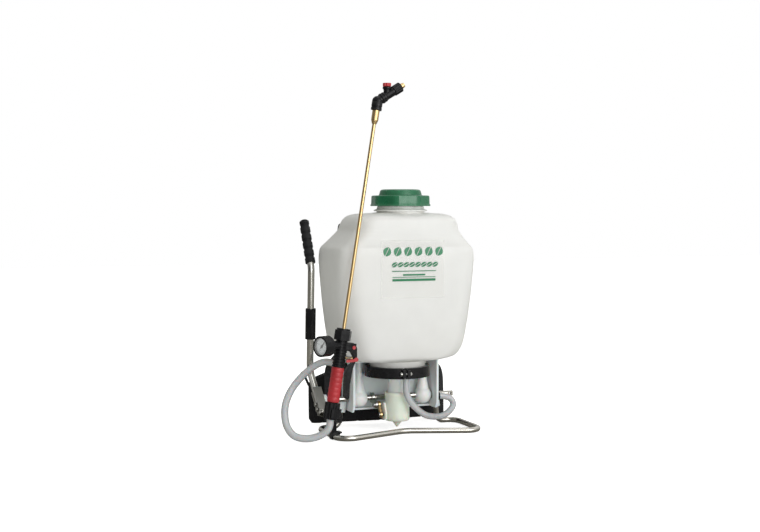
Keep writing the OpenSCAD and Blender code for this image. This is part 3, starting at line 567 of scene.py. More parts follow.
def tank_point(angle, z, grow=0.0):
    w, d, cut = tank_size(z)
    w, d, middle = w + grow, d + grow, tank_middle(z)
    c, s, p = abs(math.cos(angle)), abs(math.sin(angle)), CORNER_SHARPNESS
    corner = (c + CORNER_SLANT * s) / (w + CORNER_SLANT * d - cut)
    reach = ((c / w) ** p + (s / d) ** p + corner ** p) ** (-1 / p)
    if z > SWELL_FROM:
        rise, p = min(1.0, (z - SWELL_FROM) / SWELL_RISE), SWELL_SHARPNESS
        neck = neck_reach(angle, NECK_R + grow, NECK_Y - middle) * (SWELL_START + (1 - SWELL_START) * rise)
        reach = (reach ** p + neck ** p) ** (1 / p)
    return Vector((reach * math.cos(angle), middle + reach * math.sin(angle), z)) * MM


def tank_angles():
    return [2 * math.pi * (k + 0.5) / TANK_SIDES for k in range(TANK_SIDES)]


def tank_front(x_mm, z_mm, off_mm):
    """A point standing off the tank's front face at a given x."""
    depth, middle = tank_size(z_mm)[1], tank_middle(z_mm)
    for _ in range(6):
        angle = math.atan2(-depth, x_mm)
        depth = middle - tank_point(angle, z_mm).y / MM
    return Vector((x_mm, middle - depth - off_mm, z_mm)) * MM


def flat_ring(radius, centre_y, z):
    return [Vector((radius * math.cos(a), centre_y + radius * math.sin(a), z)) * MM for a in tank_angles()]


def build_tank(m):
    """One closed shell: outside, shoulder, neck with its lip, and back down the inside to the sump."""
    wall, shoulder_steps = 2.6, 10
    spans = ((TANK_LOW, 178, 12), (181, 400, 46), (404, TANK_HIGH, 44))
    heights = [z for span in spans for z in np.linspace(*span)]
    rings = [[tank_point(a, z) for a in tank_angles()] for z in heights]
    shoulder, goal = rings[-1], flat_ring(NECK_R, NECK_Y, TANK_HIGH)
    for k in range(1, shoulder_steps + 1):
        t = k / shoulder_steps
        share, rise = math.sin(t * math.pi / 2), Z * 3.5 * t * MM
        rings.append([p.lerp(q, share) + rise for p, q in zip(shoulder, goal)])
    neck = [(53.8, 504.6), (56.5, 505.4), *arc(59.3, 507.2, 1.7, -90, 90, 5), (56.5, 509.8), (54.2, 510.8),
            (53.5, 512), (53.5, 516), (52.0, 516.3), (52.0, 533.2), (51.2, 534), (48.8, 534), (48.0, 533.2),
            (48.0, 500)]
    rings += [flat_ring(r, NECK_Y, z) for r, z in neck]
    for z in reversed(heights):
        inner = min(max(z, TANK_LOW + wall), TANK_HIGH - wall)
        rings.append([tank_point(a, inner, -wall) for a in tank_angles()])
    sump = [(58.0, 167.6), (58.0, 146.0), (59.0, 145.0), (63.0, 145.0), (64.0, 146.0), (64.0, 163.0),
            (66.5, 165.0)]
    rings += [flat_ring(r, -8, z) for r, z in sump]
    shell = loft("tank_shell", rings, m["tank_plastic"], wrap=True, sharp=60.0)
    return piece(shell, "root", "tank_plastic", "tank")


def build_label(m):
    """The clear film with the generic print that lies on it."""
    left, right, low, high = -75.0, 77.0, 312.0, 441.0
    columns, rows = 24, 26
    across = [left + (right - left) * i / columns for i in range(columns + 1)]
    upward = [low + (high - low) * j / rows for j in range(rows + 1)]
    points = [tank_front(x, z, off) for off in (0.35, 0.85) for z in upward for x in across]
    cols, layer = columns + 1, (rows + 1) * (columns + 1)
    faces = []
    for j in range(rows):
        for i in range(columns):
            a = j * cols + i
            faces.append((a, a + cols, a + cols + 1, a + 1))
            faces.append((layer + a, layer + a + 1, layer + a + cols + 1, layer + a + cols))
    rim = ([(0, i) for i in range(columns)] + [(j, columns) for j in range(rows)]
           + [(rows, i) for i in range(columns, 0, -1)] + [(j, 0) for j in range(rows, 0, -1)])
    ids = [j * cols + i for j, i in rim]
    for a, b in zip(ids, ids[1:] + ids[:1]):
        faces.append((a, b, layer + b, layer + a))
    film = add_mesh("label_film", points, faces, m["label"])
    piece(film, "root", "label", "tank_label")
    build_print(m)


def printed_patch(name, outline_mm, m):
    """A flat shape of ink on the film. Its outline of (x, z) can be seen whole from its middle."""
    cx = sum(p[0] for p in outline_mm) / len(outline_mm)
    cz = sum(p[1] for p in outline_mm) / len(outline_mm)
    points, faces, count = [], [], len(outline_mm)
    for off in (0.9, 1.15):
        points.append(tank_front(cx, cz, off))
        for share in (0.5, 1.0):
            points += [tank_front(cx + (x - cx) * share, cz + (z - cz) * share, off) for x, z in outline_mm]
    layer = 1 + 2 * count
    for k in range(count):
        n = (k + 1) % count
        faces += [(0, 1 + n, 1 + k), (layer, layer + 1 + k, layer + 1 + n)]
        faces += [(1 + k, 1 + n, 1 + count + n, 1 + count + k)]
        faces += [(layer + 1 + n, layer + 1 + k, layer + 1 + count + k, layer + 1 + count + n)]
        faces += [(1 + count + k, 1 + count + n, layer + 1 + count + n, layer + 1 + count + k)]
    return add_mesh(name, points, faces, m["ink"])


def leaf_outline(cx, cz, length, width, turn_deg, sign):
    """One half of a leaf, between its midrib and its edge."""
    steps, gap = 18, 0.8
    shares = [k / steps for k in range(steps + 1)]
    made = [(length * (t - 0.5), sign * (gap + width * math.sin(math.pi * t) ** 0.8)) for t in shares]
    made += [(length * (0.5 - k / 6) * 0.97, sign * gap) for k in range(1, 6)]
    c, s = math.cos(math.radians(turn_deg)), math.sin(math.radians(turn_deg))
    return [(cx + x * c - z * s, cz + x * s + z * c) for x, z in made]


def bar_outline(cx, cz, half_w, half_h):
    steps = 16
    top = [(cx - half_w + 2 * half_w * k / steps, cz + half_h) for k in range(steps + 1)]
    return top[::-1] + [(x, cz - half_h) for x, _ in top]


def build_print(m):
    """A row of bold leaves, a row of slim ones, and rules below."""
    shapes = []
    # how many leaves, their middle and pitch; then their height, length, width and turn
    for count, middle, pitch, *leaf in ((6, 2, 25, 416, 22, 8.6, 62), (8, 6, 14, 387, 16, 4.2, 30)):
        for k in range(count):
            x = middle + pitch * (k - (count - 1) / 2)
            shapes += [leaf_outline(x, *leaf, side) for side in (-1, 1)]
    # height, half-length and half-thickness of each rule
    rules = ((372.5, 53, 0.9), (364, 27, 1.8), (359, 52, 0.7), (352.6, 52, 2.6))
    shapes += [bar_outline(4, *rule) for rule in rules]
    parts = [printed_patch(f"print_{k}", shape, m) for k, shape in enumerate(shapes)]
    piece(join("label_print", parts), "root", "label")


CAP_STEPS = 192
CAP_TURN = 15.4


def cap_ring(z, flat, corner=None):
    """A ring of the cap at height z: round, or with eight flats and rounded corners."""
    made = []
    for k in range(CAP_STEPS):
        turn = 360 * k / CAP_STEPS
        reach = flat
        if corner:
            off = math.radians((turn - CAP_TURN) % 45 - 22.5)
            reach = min(flat / math.cos(off), corner)
        a = math.radians(turn)
        made.append(NECK @ mm(reach * math.cos(a), reach * math.sin(a), z))
    return made


def build_cap(m):
    """Eight-sided flange with a thin lip round its foot, a raised crown and a dished top."""
    corner_reach = 3.0
    flange = [(517.2, 63.6), (517.5, 65.0), (518.4, 65.5), (520.6, 65.4), (521.4, 64.2), (522.2, 63.8),
              (537.0, 63.3), (539.4, 62.9), (540.6, 62.0), (541.1, 60.2)]
    crown = [(541.3, 56.0), (541.5, 50.2), (542.2, 49.0), (544.5, 48.3), (549.5, 46.8), (552.0, 45.9),
             (553.8, 44.0), (554.7, 41.0), (555.0, 38.0), (554.4, 35.5), (553.4, 34.0), (553.0, 20.0),
             (552.8, 6.0), (552.8, 0.5)]
    inside = [(537.0, 0.5), (537.0, 50.0), (536.0, 52.06), (517.4, 52.06), (517.2, 56.0)]
    rings = [cap_ring(z, flat, flat + corner_reach) for z, flat in flange]
    rings += [cap_ring(z, radius) for z, radius in crown + inside]
    cap = loft("cap_shell", rings, m["cap_green"], wrap=True, sharp=12.0)
    piece(cap, "cap", "cap_green", "tank_cap")


# ---- tubes and hoses

def build_foot(m):
    foot_r, half_w, rear, front, apex = 6.35, 173.0, 50.0, -113.0, -55.0
    left = [(-116, 42, 66), (-125, 46, foot_r), (-half_w, rear, foot_r), (-half_w, front, foot_r)]
    right = [(-x, y, z) for x, y, z in left[::-1]]
    path = bent(mm_path(left + [(0, apex, foot_r)] + right), [r * MM for r in (18, 26, 30, 60, 30, 26, 18)])
    foot = tube("foot_tube", path, foot_r * MM, 5.1 * MM, m["stainless"])
    piece(foot, "root", "stainless", "foot_frame")


def lever_path():
    x = -185
    return bent([mm(x, -20, 50), mm(x, 72, 137), mm(x, 60, 376), mm(x, 109.5, 474)], [45 * MM, 40 * MM], 20)


def build_lever_tube(m):
    made = tube("lever_bar", lever_path(), 8 * MM, 6.6 * MM, m["chrome"])
    piece(made, "lever", "chrome", "lever_tube")


HOSE_MAIN = [
    (-196.7, -110, 56), (-201, -109, 33), (-219, -100, 16.5), (-246, -89, 10.5), (-269, -75, 16),
    (-281, -60, 36), (-281, -45, 65), (-271, -30, 90), (-252, -15, 114), (-224, 0, 137), (-194, 11, 155),
    (-166, 22, 162), (-140, 33, 156), (-116, 44, 146)]
HOSE_SIDE = [
    (5, -52, 127), (4, -53, 110), (6, -53, 91), (16, -52, 71), (34, -49, 52), (57, -42, 37), (82, -31, 30),
    (109, -19, 28.5), (133, -6, 36), (147, 3, 49), (144, 9, 62), (128, 11, 69), (114, 11, 71)]


def build_hoses(m):
    """The supply hose runs in one fixed curve between the base and the handle; the other one stays on the
    base.
    """
    def hose(name, points, radius, bore):
        return tube(name, curve_through(mm_path(points), 10), radius * MM, bore * MM, m["hose_pvc"], 36)

    main = hose("hose_supply", HOSE_MAIN, 8, 5.6)
    main.data.transform(TO_FRAME)
    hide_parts("hose_main")
    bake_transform(main)
    piece(hose("hose_return", HOSE_SIDE, 7.25, 5.0), "root", "hose_pvc", "hose_side")


# ---- soft goods

PAD_HALF, PAD_FRONT, PAD_WRAP, PAD_THICK = 179.0, 82.0, 44.0, 26.0
# the left end stays clear of the lever, which swings past it
PAD_LEFT, PAD_RIGHT = 170.5, 174.0
PAD_SINK = 4.5  # how far the puffed top edge pulls in


def pad_centre(x):
    return PAD_FRONT + PAD_THICK / 2 + PAD_WRAP * (x / PAD_HALF) ** 2


def pad_top(x):
    """The pad's top edge falls away towards its ends, more at its free right end."""
    fall = 0.45 if x < 0 else 0.85
    return 127.0 - fall * max(0.0, abs(x) - 118.0)


def pad_shape():
    """The pad before it is puffed: a curved slab with rounded ends."""
    columns, steps = 44, 32
    rings = []
    for i in range(columns + 1):
        share = 2 * i / columns - 1
        x = (PAD_LEFT if share < 0 else PAD_RIGHT) * share
        end = max(0.0, abs(share) - 0.92) / 0.08
        squeeze = math.sqrt(max(0.02, 1 - end ** 2.2))
        low = 2.5 + 10 * (1 - squeeze)
        high = pad_top(x) + PAD_SINK - 7 * (1 - squeeze)
        half_t = (PAD_THICK / 2 - 4.5) * (0.35 + 0.65 * squeeze)
        mid, half_h = (low + high) / 2, (high - low) / 2
        slope = 2 * PAD_WRAP * x / PAD_HALF ** 2
        n = Vector((-slope, 1, 0)).normalized()
        ring = []
        for k in range(steps):
            a = 2 * math.pi * k / steps
            c, s = math.cos(a), math.sin(a)
            out = half_t * math.copysign(abs(c) ** 0.5, c)
            rise = half_h * math.copysign(abs(s) ** 0.35, s)
            ring.append((Vector((x, pad_centre(x), mid + rise)) + n * out) * MM)
        rings.append(ring)
    return rings


def puff(obj, cap_mm, pressure=4.0, voxel_mm=5.0):
    """Voxel remesh, inflate with cloth, limit how far each point moves, apply, and subdivide once."""
    remesh = obj.modifiers.new("remesh", "REMESH")
    remesh.mode = "VOXEL"
    remesh.voxel_size = voxel_mm * MM
    apply_modifiers(obj)
    start = np.array([v.co for v in obj.data.vertices])
    cloth = obj.modifiers.new("cloth", "CLOTH")
    cloth.settings.effector_weights.gravity = 0
    for key, value in (("quality", 5), ("mass", 0.2), ("use_pressure", True),
                       ("uniform_pressure_force", pressure), ("tension_stiffness", 25),
                       ("compression_stiffness", 25), ("shear_stiffness", 12)):
        setattr(cloth.settings, key, value)
    scene = bpy.context.scene
    cloth.point_cache.frame_start, cloth.point_cache.frame_end = 1, 20
    for number in range(1, 21):
        scene.frame_set(number)
    apply_modifiers(obj)
    scene.frame_set(1)
    now = np.array([v.co for v in obj.data.vertices])
    move = now - start
    size = np.linalg.norm(move, axis=1, keepdims=True)
    move *= np.minimum(1.0, cap_mm * MM / np.maximum(size, 1e-9))
    obj.data.vertices.foreach_set("co", (start + move).astype(np.float32).ravel())
    smooth = obj.modifiers.new("smooth", "SMOOTH")
    smooth.factor, smooth.iterations = 0.5, 4
    subdivide = obj.modifiers.new("subdivide", "SUBSURF")
    subdivide.levels = subdivide.render_levels = 1
    apply_modifiers(obj)
    obj.data.polygons.foreach_set("use_smooth", [True] * len(obj.data.polygons))


def press_channels(obj, channels, depth_mm, width_mm):
    """Sews channels into a pad's broad faces. A channel is a function of (x, z) in mm that is 0 on it."""
    count = len(obj.data.vertices)
    co = np.zeros(count * 3, np.float32)
    no = np.zeros(count * 3, np.float32)
    obj.data.vertices.foreach_get("co", co)
    obj.data.vertices.foreach_get("normal", no)
    co, no = co.reshape(-1, 3), no.reshape(-1, 3)
    x, z = co[:, 0] / MM, co[:, 2] / MM
    press = np.zeros(count)
    for channel in channels:
        press = np.maximum(press, np.exp(-(channel(x, z) / width_mm) ** 2))
    broad = np.abs(no[:, 1]) ** 0.5
    co -= (no * (press * broad * depth_mm * MM)[:, None]).astype(np.float32)
    obj.data.vertices.foreach_set("co", co.ravel())
    obj.data.update()


def build_pad(m):
    pad = loft("pad_cushion", pad_shape(), m["black_fabric"])
    puff(pad, 3.5)
    channels = [lambda x, z, c=c: (np.abs(x) - c) for c in (0.0, 58.0, 112.0)]
    channels.append(lambda x, z: np.where(np.abs(x) < 118, z - 64.0 + 0.0006 * x * x, 50.0))
    press_channels(pad, channels, 3.0, 3.2)
    piece(pad, "root", "black_fabric", "lumbar_pad")
    binding = [mm(x, pad_centre(x), pad_top(x) + 0.6) for x in np.linspace(-160, 160, 66)]
    outline = [(4.2 * x * MM, 3.2 * y * MM) for x, y in circle(1, 16)]
    piece(sweep("pad_binding", binding, outline, m["webbing"], Y), "root", "webbing")
    build_pad_toggle(m)


def build_pad_toggle(m):
    """The waist cord's end stop: a short round toggle that stands above the pad's left end."""
    place = Matrix.Translation(mm(-169, 137, 98)) @ Matrix.Rotation(math.radians(-24), 4, "Y")
    profile = [(0.0, -6), (3.0, -6), (3.0, 16), (6.0, 17), (8.0, 19), (8.6, 22), (8.6, 26), (8.0, 29),
               (6.0, 31), (0.0, 31.6)]
    piece(revolve("pad_toggle", profile, place, m["black_plastic"], 32), "root", "black_plastic")


STRAP_X, STRAP_W, STRAP_T = 70.0, 50.0, 9.0
STRAP_LINE = [(114.5, 446), (115, 462), (121, 473), (131, 471), (138, 456), (141, 430), (141, 384),
              (138, 328), (132, 270), (127, 228)]
WEB_PATH = [(70, 127, 226), (70, 127, 194), (85, 120, 172), (110, 104, 154), (130, 84, 138), (137, 72, 118),
            (138, 68, 80), (138, 66, 40), (138, 66, 16)]


def pillow_outline(width, thick, steps=28, pinch=0.18):
    """Section of a padded strap: crowned faces that thin to a sewn edge."""
    made = []
    for k in range(steps):
        a = 2 * math.pi * k / steps
        c, s = math.cos(a), math.sin(a)
        side = math.copysign(abs(c) ** 0.55, c)
        made.append((width / 2 * side, thick / 2 * s * (1 - pinch * abs(side) ** 6)))
    return made


def build_shoulder_strap(m, side, name):
    """A padded band with a round hem sewn along both edges."""
    path = curve_through([mm(side * STRAP_X, y, z) for y, z in STRAP_LINE], 8)
    outline = [(a * MM, b * MM) for a, b in pillow_outline(STRAP_W - 2, STRAP_T)]
    parts = [sweep(f"strap_{name}", path, outline, m["black_fabric"], X)]
    for edge in (-1, 1):
        hem = [p + X * edge * (STRAP_W / 2 - 2.2) * MM for p in path]
        parts.append(sweep(f"hem_{edge}", hem, circle(1.9 * MM, 10), m["webbing"], X))
    piece(join(f"shoulder_strap_{name}", parts), "root", "black_fabric", "shoulder_straps")


def build_webbing(m, side, name):
    """A flat band with faintly rounded edges and two rows of stitches."""
    path = curve_through([mm(side * x, y, z) for x, y, z in WEB_PATH], 10)
    half_w, half_t, proud = 12.3 * MM, 0.95 * MM, 0.2 * MM
    across = [half_w * share for share in (-1, -0.5, 0, 0.5, 1)]
    outline = [(x, -half_t) for x in across] + [(half_w + proud, 0)]
    outline += [(half_w, half_t), (0, half_t), (-half_w, half_t), (-half_w - proud, 0)]
    parts = [sweep(f"webbing_{name}", path, outline, m["webbing"], X, 60)]
    for row in (-1, 1):
        line = [p + X * row * 9.5 * MM - Y * 0.9 * MM for p in path]
        for a, b in zip(line[14:-2:2], line[15:-1:2]):
            ends = [a.lerp(b, 0.1), b.lerp(a, 0.1)]
            parts.append(sweep("stitch", ends, circle(0.35 * MM, 6), m["thread"], X))
    piece(join(f"strap_webbing_{name}", parts), "root", "webbing", "strap_webbing")


def build_straps(m):
    for side, name in ((-1, "left"), (1, "right")):
        build_shoulder_strap(m, side, name)
        build_webbing(m, side, name)


# ---- pump

def build_pump(m):
    """The sliding cup: a draughted wall with a stepped rim and a rounded foot, and a fin for the link."""
    cup = [(0.0, 8.0), (1.6, 8.3), (2.8, 9.6), (6.0, 14.5), (9.0, 18.4), (11.0, 20.6), (14.0, 21.8),
           (20.0, 22.6), (25.4, 23.6), (28.0, 25.4), (29.0, 28.5), (29.0, 36.0), (28.4, 56.0), (28.1, 80.0),
           (28.8, 81.6), (28.8, 88.0), (28.2, 89.6), (27.0, 90.0), (25.8, 89.6), (25.1, 88.0), (25.1, 31.0),
           (23.0, 29.2), (0.0, 29.0)]
    fin = [(-22, 28), (5, 28), (6, 33), (6, 44), (-4, 66), (-12, 66), (-22, 44)]
    upper = [(-15, 46), (0, 46), (-5, 62), (-11, 62)]
    lower = [(-18, 28.4), (4, 28.4), (3, 31.4), (-17, 31.4)]
    cream = m["cream_plastic"]
    parts = [revolve("cup_wall", cup, PUMP, cream, 72, 40),
             drilled_plate("cup_fin", fin, -34, -29.4, cream, (-7.8, 38), 5.6),
             drilled_plate("cup_fin_neck", upper, -30.2, -25.5, cream),
             drilled_plate("cup_fin_low", lower, -30.2, -25.4, cream)]
    piece(join("cup_shell", parts), "cup", "cream_plastic", "pump_cup")


def drilled_plate(name, outline, x_from, x_to, material, hole=None, hole_r=0.05, steps=48):
    """A convex plate square to X with a rounded rim. Its points are (y, z), going anticlockwise."""
    cy, cz = hole or (sum(axis) / len(outline) for axis in zip(*outline))
    reach = []
    for c, s in circle(1, steps):
        hits = []
        for (y0, z0), (y1, z1) in zip(outline, outline[1:] + outline[:1]):
            facing = c * (z1 - z0) - s * (y1 - y0)
            if facing > 1e-9:
                hits.append(((y0 - cy) * (z1 - z0) - (z0 - cz) * (y1 - y0)) / facing)
        reach.append((c, s, min(hits)))
    inset = 0.8
    rim = ((x_from, inset), (x_from + inset, 0), (x_to - inset, 0), (x_to, inset))
    rings = [[mm(x, cy + c * (r - cut), cz + s * (r - cut)) for c, s, r in reach] for x, cut in rim]
    rings += [[mm(x, cy + c * hole_r, cz + s * hole_r) for c, s, r in reach] for x in (x_to, x_from)]
    return loft(name, rings, material, wrap=True, sharp=40)


# ---- gauge face

DIAL_FACE, DIAL_START, DIAL_SWEEP = 58.05, 140.0, -280.0
DIAL_OUT = (ON_GAUGE.to_3x3() @ Z).normalized()
DIAL_RIGHT = Z.cross(DIAL_OUT).normalized()
UPRIGHT_ON_DIAL = Matrix((DIAL_RIGHT, Z, DIAL_OUT)).transposed().to_4x4()


def dial_spot(share, radius, side=0.0, rise=0.0):
    """A point on the dial, by its share of the scale; side is how far it stands off that ray."""
    a = math.radians(DIAL_START + DIAL_SWEEP * share)
    c, s = math.cos(a), math.sin(a)
    return ON_GAUGE @ mm(side * s - radius * c, radius * s + side * c, DIAL_FACE + rise)


def build_gauge_marks(m):
    """Ticks round the dial, an arc outside them and plain numbers."""
    ink, marks, long_every, arc_steps, number_r = m["dial_ink"], 20, 5, 40, 10.6
    parts = []
    for k in range(marks + 1):
        start, half = (15.2, 0.16) if k % long_every else (13.6, 0.36)
        corners = ((start, half), (17.2, half), (17.2, -half), (start, -half))
        points = [dial_spot(k / marks, r, side, rise) for rise in (0.0, 0.15) for r, side in corners]
        faces = [(0, 1, 2, 3), (7, 6, 5, 4), (0, 4, 5, 1), (1, 5, 6, 2), (2, 6, 7, 3), (3, 7, 4, 0)]
        parts.append(add_mesh("tick", points, faces, ink))
    section = ((17.5, 0), (17.9, 0), (17.9, 0.12), (17.5, 0.12))
    rings = [[dial_spot(k / arc_steps, r, 0.0, rise) for r, rise in section] for k in range(arc_steps + 1)]
    parts.append(loft("scale_arc", rings, ink))
    for k, number in enumerate(("0", "3", "6", "9", "12")):
        curve = bpy.data.curves.new("number", "FONT")
        curve.body = number
        curve.size = 3.8 * MM
        curve.extrude = 0.06 * MM
        curve.align_x = curve.align_y = "CENTER"
        text = add_object("number", curve)
        text.matrix_world = Matrix.Translation(dial_spot(k / 4, number_r, 0.0, 0.1)) @ UPRIGHT_ON_DIAL
        bpy.context.view_layer.update()
        mesh = bpy.data.meshes.new_from_object(text.evaluated_get(bpy.context.evaluated_depsgraph_get()))
        mesh.transform(text.matrix_world)
        mesh.materials.clear()
        mesh.materials.append(ink)
        bpy.data.objects.remove(text)
        parts.append(add_object("number", mesh))
    piece(join("dial_marks", parts), "handle", "black_plastic")


def build_needle(m):
    """A tapered pointer with a short tail, on its stepped hub."""
    place = ON_GAUGE @ Matrix.Rotation(math.radians(DIAL_START), 4, "Z")
    low, high = 58.8, 59.4
    outline = [(-6, -1.2), (3, -1.5), (14.2, -0.5), (14.2, 0.5), (3, 1.5), (-6, 1.2)]
    points = [place @ mm(x, y, h) for h in (low, high) for x, y in outline]
    faces = [(5, 4, 3, 2, 1, 0), (6, 7, 8, 9, 10, 11)]
    faces += [(k, (k + 1) % 6, 6 + (k + 1) % 6, 6 + k) for k in range(6)]
    hub = [(0.0, low - 2.3), (1.15, low - 2.3), (1.15, low - 0.3), (2.9, low - 0.3), (3.1, high - 0.2),
           (2.9, high + 0.4), (2.0, high + 0.7), (0.0, high + 0.75)]
    black = m["black_plastic"]
    parts = [add_mesh("pointer", points, faces, black), revolve("pointer_hub", hub, place, black, 40)]
    piece(join("dial_pointer", parts), "needle", "black_plastic", "gauge_needle")


# ---- handle and nozzle

def build_grip(m):
    """Red sleeve of the handle: a plain tube with broad shallow swells."""
    low, high, bore, end_r, radius, swell, swells = 37.6, 113.9, 9.03, 12.4, 13.1, 0.65, 7
    bevel, steps = 0.8, 100
    profile = [(bore, low), (end_r, low), (radius, low + bevel)]
    for k in range(1, steps):
        t = k / steps
        rise = swell * abs(math.sin(math.pi * swells * t)) ** 0.7
        profile.append((radius + rise, low + bevel + (high - low - 2 * bevel) * t))
    profile += [(radius, high - bevel), (end_r, high), (bore, high)]
    piece(revolve("grip_sleeve", profile, ON_WAND, m["grip_red"]), "handle", "grip_red", "valve_grip")


def build_spring(m):
    """The trigger valve's return spring, drawn at one fixed length."""
    fixed, length, coil_r, wire_r, turns, stem_height, travel = 14.6, 11.4, 3.6, 0.5, 5, 136, 1.6
    steps = 24
    coil = []
    for k in range(turns * steps + 1):
        a = 2 * math.pi * k / steps
        out = fixed + length * k / (turns * steps)
        coil.append(ON_WAND @ mm(out, coil_r * math.sin(a), stem_height - coil_r * math.cos(a)))
    along = (ON_WAND.to_3x3() @ X).normalized()
    spring = sweep("return_spring", coil, circle(wire_r * MM, 12), m["steel"], along)
    piece(spring, "handle", "steel", "valve_spring")
    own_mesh(spring)


def build_nozzle(m):
    """Elbow with grooved collars, and the turret that carries the selector."""
    black = m["black_plastic"]
    collar = [(4.03, 680.3), (11.4, 680.3), (12.0, 681.0), (12.0, 686.0), (11.3, 686.7), (11.3, 688.2),
              (12.0, 689.0), (12.0, 698.0), (11.0, 700.0), (2.5, 700.0), (2.5, 694.2), (4.03, 694.2)]
    neck = [(2.5, 0.0), (10.4, 0.0), (11.0, 2.0), (10.2, 5.0), (10.2, 9.0), (11.3, 10.0), (11.8, 11.0),
            (11.8, 14.0), (11.0, 15.0), (10.6, 15.4), (10.6, 16.6), (11.4, 17.4), (11.4, 20.0), (10.4, 21.4),
            (9.8, 24.0), (9.6, 38.0), (10.0, 40.0), (10.0, 43.2), (9.2, 43.9), (8.0, 44.0), (8.0, 55.4),
            (7.4, 56.0), (2.5, 56.0)]
    turret = [(2.06, 768.5), (2.06, 778.0), (7.4, 778.0), (9.3, 777.2), (9.6, 776.2), (9.6, 773.8),
              (8.8, 772.8), (7.6, 771.0), (7.4, 756.0), (LEAST_R, 756.0), (LEAST_R, 768.5)]
    elbow = arc(0, 0, 11.9, -90, 90, 24)
    at_turret, at_elbow = Matrix.Translation(mm(-65, -110, 0)), Matrix.Translation(ELBOW)
    turned = (("collar", collar, ON_WAND), ("neck", neck, ON_NOZZLE), ("turret", turret, at_turret),
              ("elbow", elbow, at_elbow))
    parts = [revolve(name, profile, place, black, 48) for name, profile, place in turned]
    for side in (-1, 1):
        spread = Matrix.Rotation(side * math.radians(42), 4, "Z") @ Matrix.Translation(mm(side * 1.2, 0, 0))
        parts.append(block(f"rib_{side}", (-0.9, -9.2, 5), (0.9, 9.2, 38), black, ON_NOZZLE @ spread, 0.5))
    piece(join("nozzle_elbow", parts), "wand", "black_plastic", "nozzle_body")


# ---- carried-over CAD nodes

# the CAD nodes that stay, under the width in mm of the bevel on their edges
CAD_EDGES = {
    0: "inlet_ball outlet_ball",
    0.1: "gauge_dial",
    0.2: "shaft_retainers",
    0.3: "cap_gasket filler_strainer sump_gasket piston_seal valve_stem gauge_lens wand_tube nozzle_tip",
    0.4: "vent_valve base_screws clamp_bolt pump_shaft crank_pin link_pin lever_bolts trigger_pivot "
         "trigger_lock",
    0.5: "crank_arm pump_link lever_grip valve_body selector_knob nozzle_cap",
    0.6: "pump_barrel lever_bracket",
    0.7: "hose_fittings gauge_case",
    0.8: "pressure_chamber shaft_bush hose_nut",
    0.9: "wand_clip strap_brackets strap_buckles lever_sleeve wand_nut",
    1.0: "back_plate valve_trigger",
    1.2: "clamp_ring bearing_left bearing_right",
    1.4: "base_frame",
}


def finish_cad(m):
    slots = {row["node"]: row["material_slot"] for row in frame["record"]["subparts"]}
    widths = {node: width for width, nodes in CAD_EDGES.items() for node in nodes.split()}
    for node, width in widths.items():
        obj = frame["nodes"][node]
        mesh = obj.data
        if "custom_normal" in mesh.attributes:
            mesh.attributes.remove(mesh.attributes["custom_normal"])
        mesh.polygons.foreach_set("use_smooth", [True] * len(mesh.polygons))
        mesh.materials.clear()
        mesh.materials.append(m[slots[node]])
        weld = obj.modifiers.new("weld", "WELD")
        weld.merge_threshold = 0.005 * MM
        if width:
            flatten = obj.modifiers.new("flatten", "DECIMATE")
            flatten.decimate_type = "DISSOLVE"
            flatten.angle_limit = math.radians(0.5)
            round_edges(obj, width, 2, 36.0)


# ---- stage

TO_STRIP, TO_SECOND_STRIP, TO_FRONT = (0.238, -0.968, 0.0), (0.98, 0.18, 0.0), (0.35, -0.88, 0.32)


def studio_world():
    """White to the camera, soft to rough surfaces, and strips of light and shade for polished ones."""
    world = bpy.data.worlds.new("studio")
    world.use_nodes = True
    sky = Nodes(world.node_tree)
    place = sky.node("ShaderNodeTexCoord").outputs["Generated"]
    rays = sky.node("ShaderNodeLightPath").outputs

    def levels(direction, stops):
        """A ramp whose 0 lies opposite to the direction, and whose 1 lies along it."""
        dot = sky.node("ShaderNodeVectorMath", operation="DOT_PRODUCT")
        dot.inputs[1].default_value = direction
        sky.link(place, dot.inputs[0])
        return sky.ramp(sky.math("MULTIPLY_ADD", dot.outputs["Value"], 0.5, 0.5), stops)

    strip = levels(TO_STRIP, [(0.0, 0.20), (0.2, 0.10), (0.45, 0.03), (0.76, 0.04), (0.86, 0.22),
                              (0.93, 1.0)])
    second = levels(TO_SECOND_STRIP, [(0.70, 0.0), (0.84, 0.20), (0.95, 0.26)])
    ceiling = levels(Z, [(0.58, 0.0), (0.72, 0.08), (0.84, 0.34), (0.94, 0.12), (1.0, 0.05)])
    polished = sky.mix(1.0, sky.mix(1.0, strip, second, "ADD"), ceiling, "ADD")
    bright = sky.mix(1.0, polished, (2.2, 2.2, 2.2), "MULTIPLY")
    soft = levels(TO_FRONT, [(0.0, (0.31, 0.31, 0.27)), (0.45, (0.39, 0.39, 0.355)), (1.0, 0.68)])
    seen = sky.mix(rays["Is Glossy Ray"], soft, bright)
    shown = sky.mix(rays["Is Camera Ray"], seen, (1.0, 1.0, 1.0))
    sky.link(shown, sky.tree.nodes["Background"].inputs["Color"])
    bpy.context.scene.world = world


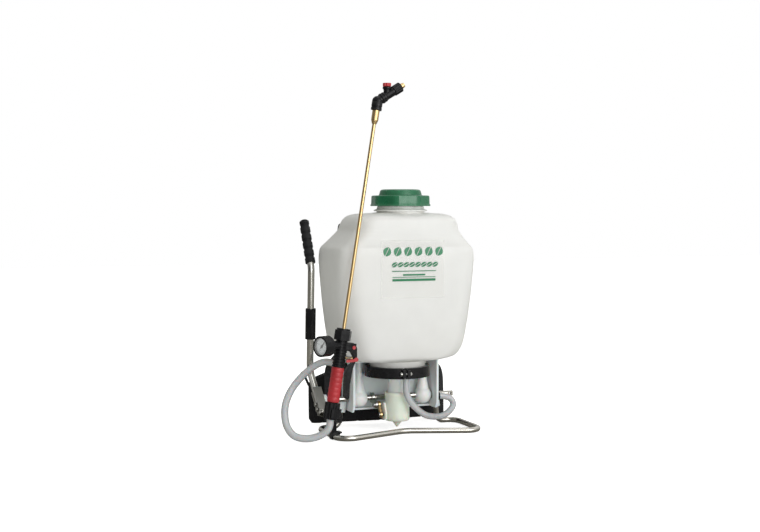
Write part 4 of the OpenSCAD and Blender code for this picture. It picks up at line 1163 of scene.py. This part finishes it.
def floor_material():
    """Pale to the eye, and darker where polished tubes mirror it."""
    s = Shader("floor", (0.93, 0.93, 0.93), 0.8)
    s.bsdf.inputs["Emission Color"].default_value = (1, 1, 1, 1)
    rays = s.node("ShaderNodeLightPath")
    s.link(s.math("MULTIPLY", rays.outputs["Is Camera Ray"], 0.75), s.bsdf.inputs["Emission Strength"])
    cloud = s.ramp(s.noise(3.0, 3.0), [(0.3, (0.92, 0.92, 0.92)), (0.7, (0.94, 0.94, 0.94))])
    s.color(s.mix(rays.outputs["Is Glossy Ray"], cloud, (0.34, 0.33, 0.30)))
    return s.material


# name, place, size and power of each soft lamp
LAMPS = (("key", (0.9, -2.9, 1.1), 1.6, 30), ("top", (0.2, -0.3, 2.8), 1.8, 19),
         ("low", (-0.3, -2.2, 0.35), 0.7, 4))
LAMPS_AT = Vector((0, -0.1, 0.3))
FLOOR_HALF, FLOOR_DROP = 8.0, 0.0006


def aimed(obj, place, direction):
    """Puts a lamp or camera in its place, looking along the direction."""
    obj.location = place
    obj.rotation_euler = direction.to_track_quat("-Z", "Y").to_euler()
    return obj


def build_stage():
    """A pale floor, white world and soft lamps."""
    corners = [(x * FLOOR_HALF, y * FLOOR_HALF, 0) for x, y in ((-1, -1), (1, -1), (1, 1), (-1, 1))]
    floor = add_mesh("floor", corners, [(0, 1, 2, 3)], floor_material())
    floor.location.z = -FLOOR_DROP
    studio_world()
    bpy.context.scene.view_settings.view_transform = "Standard"
    for name, spot, side, power in LAMPS:
        light = bpy.data.lights.new(name, "AREA")
        light.size = side
        light.energy = power
        aimed(add_object(name, light), spot, LAMPS_AT - Vector(spot))


def build_camera():
    """The camera at the photograph's viewing angle."""
    camera = bpy.data.cameras.new("camera")
    camera.lens = 59.2
    camera.sensor_width = 36.0
    camera.clip_start = 0.05
    look = Vector((0.3595, 0.9333, -0.0472))
    bpy.context.scene.camera = aimed(add_object("camera", camera), (-1.0676, -2.7655, 0.515), look)


materials = make_materials()
for build in (build_tank, build_label, build_cap, build_foot, build_lever_tube, build_hoses, build_pad,
              build_straps, build_pump, build_gauge_marks, build_needle, build_grip, build_spring,
              build_nozzle, finish_cad):
    build(materials)
build_stage()
build_camera()
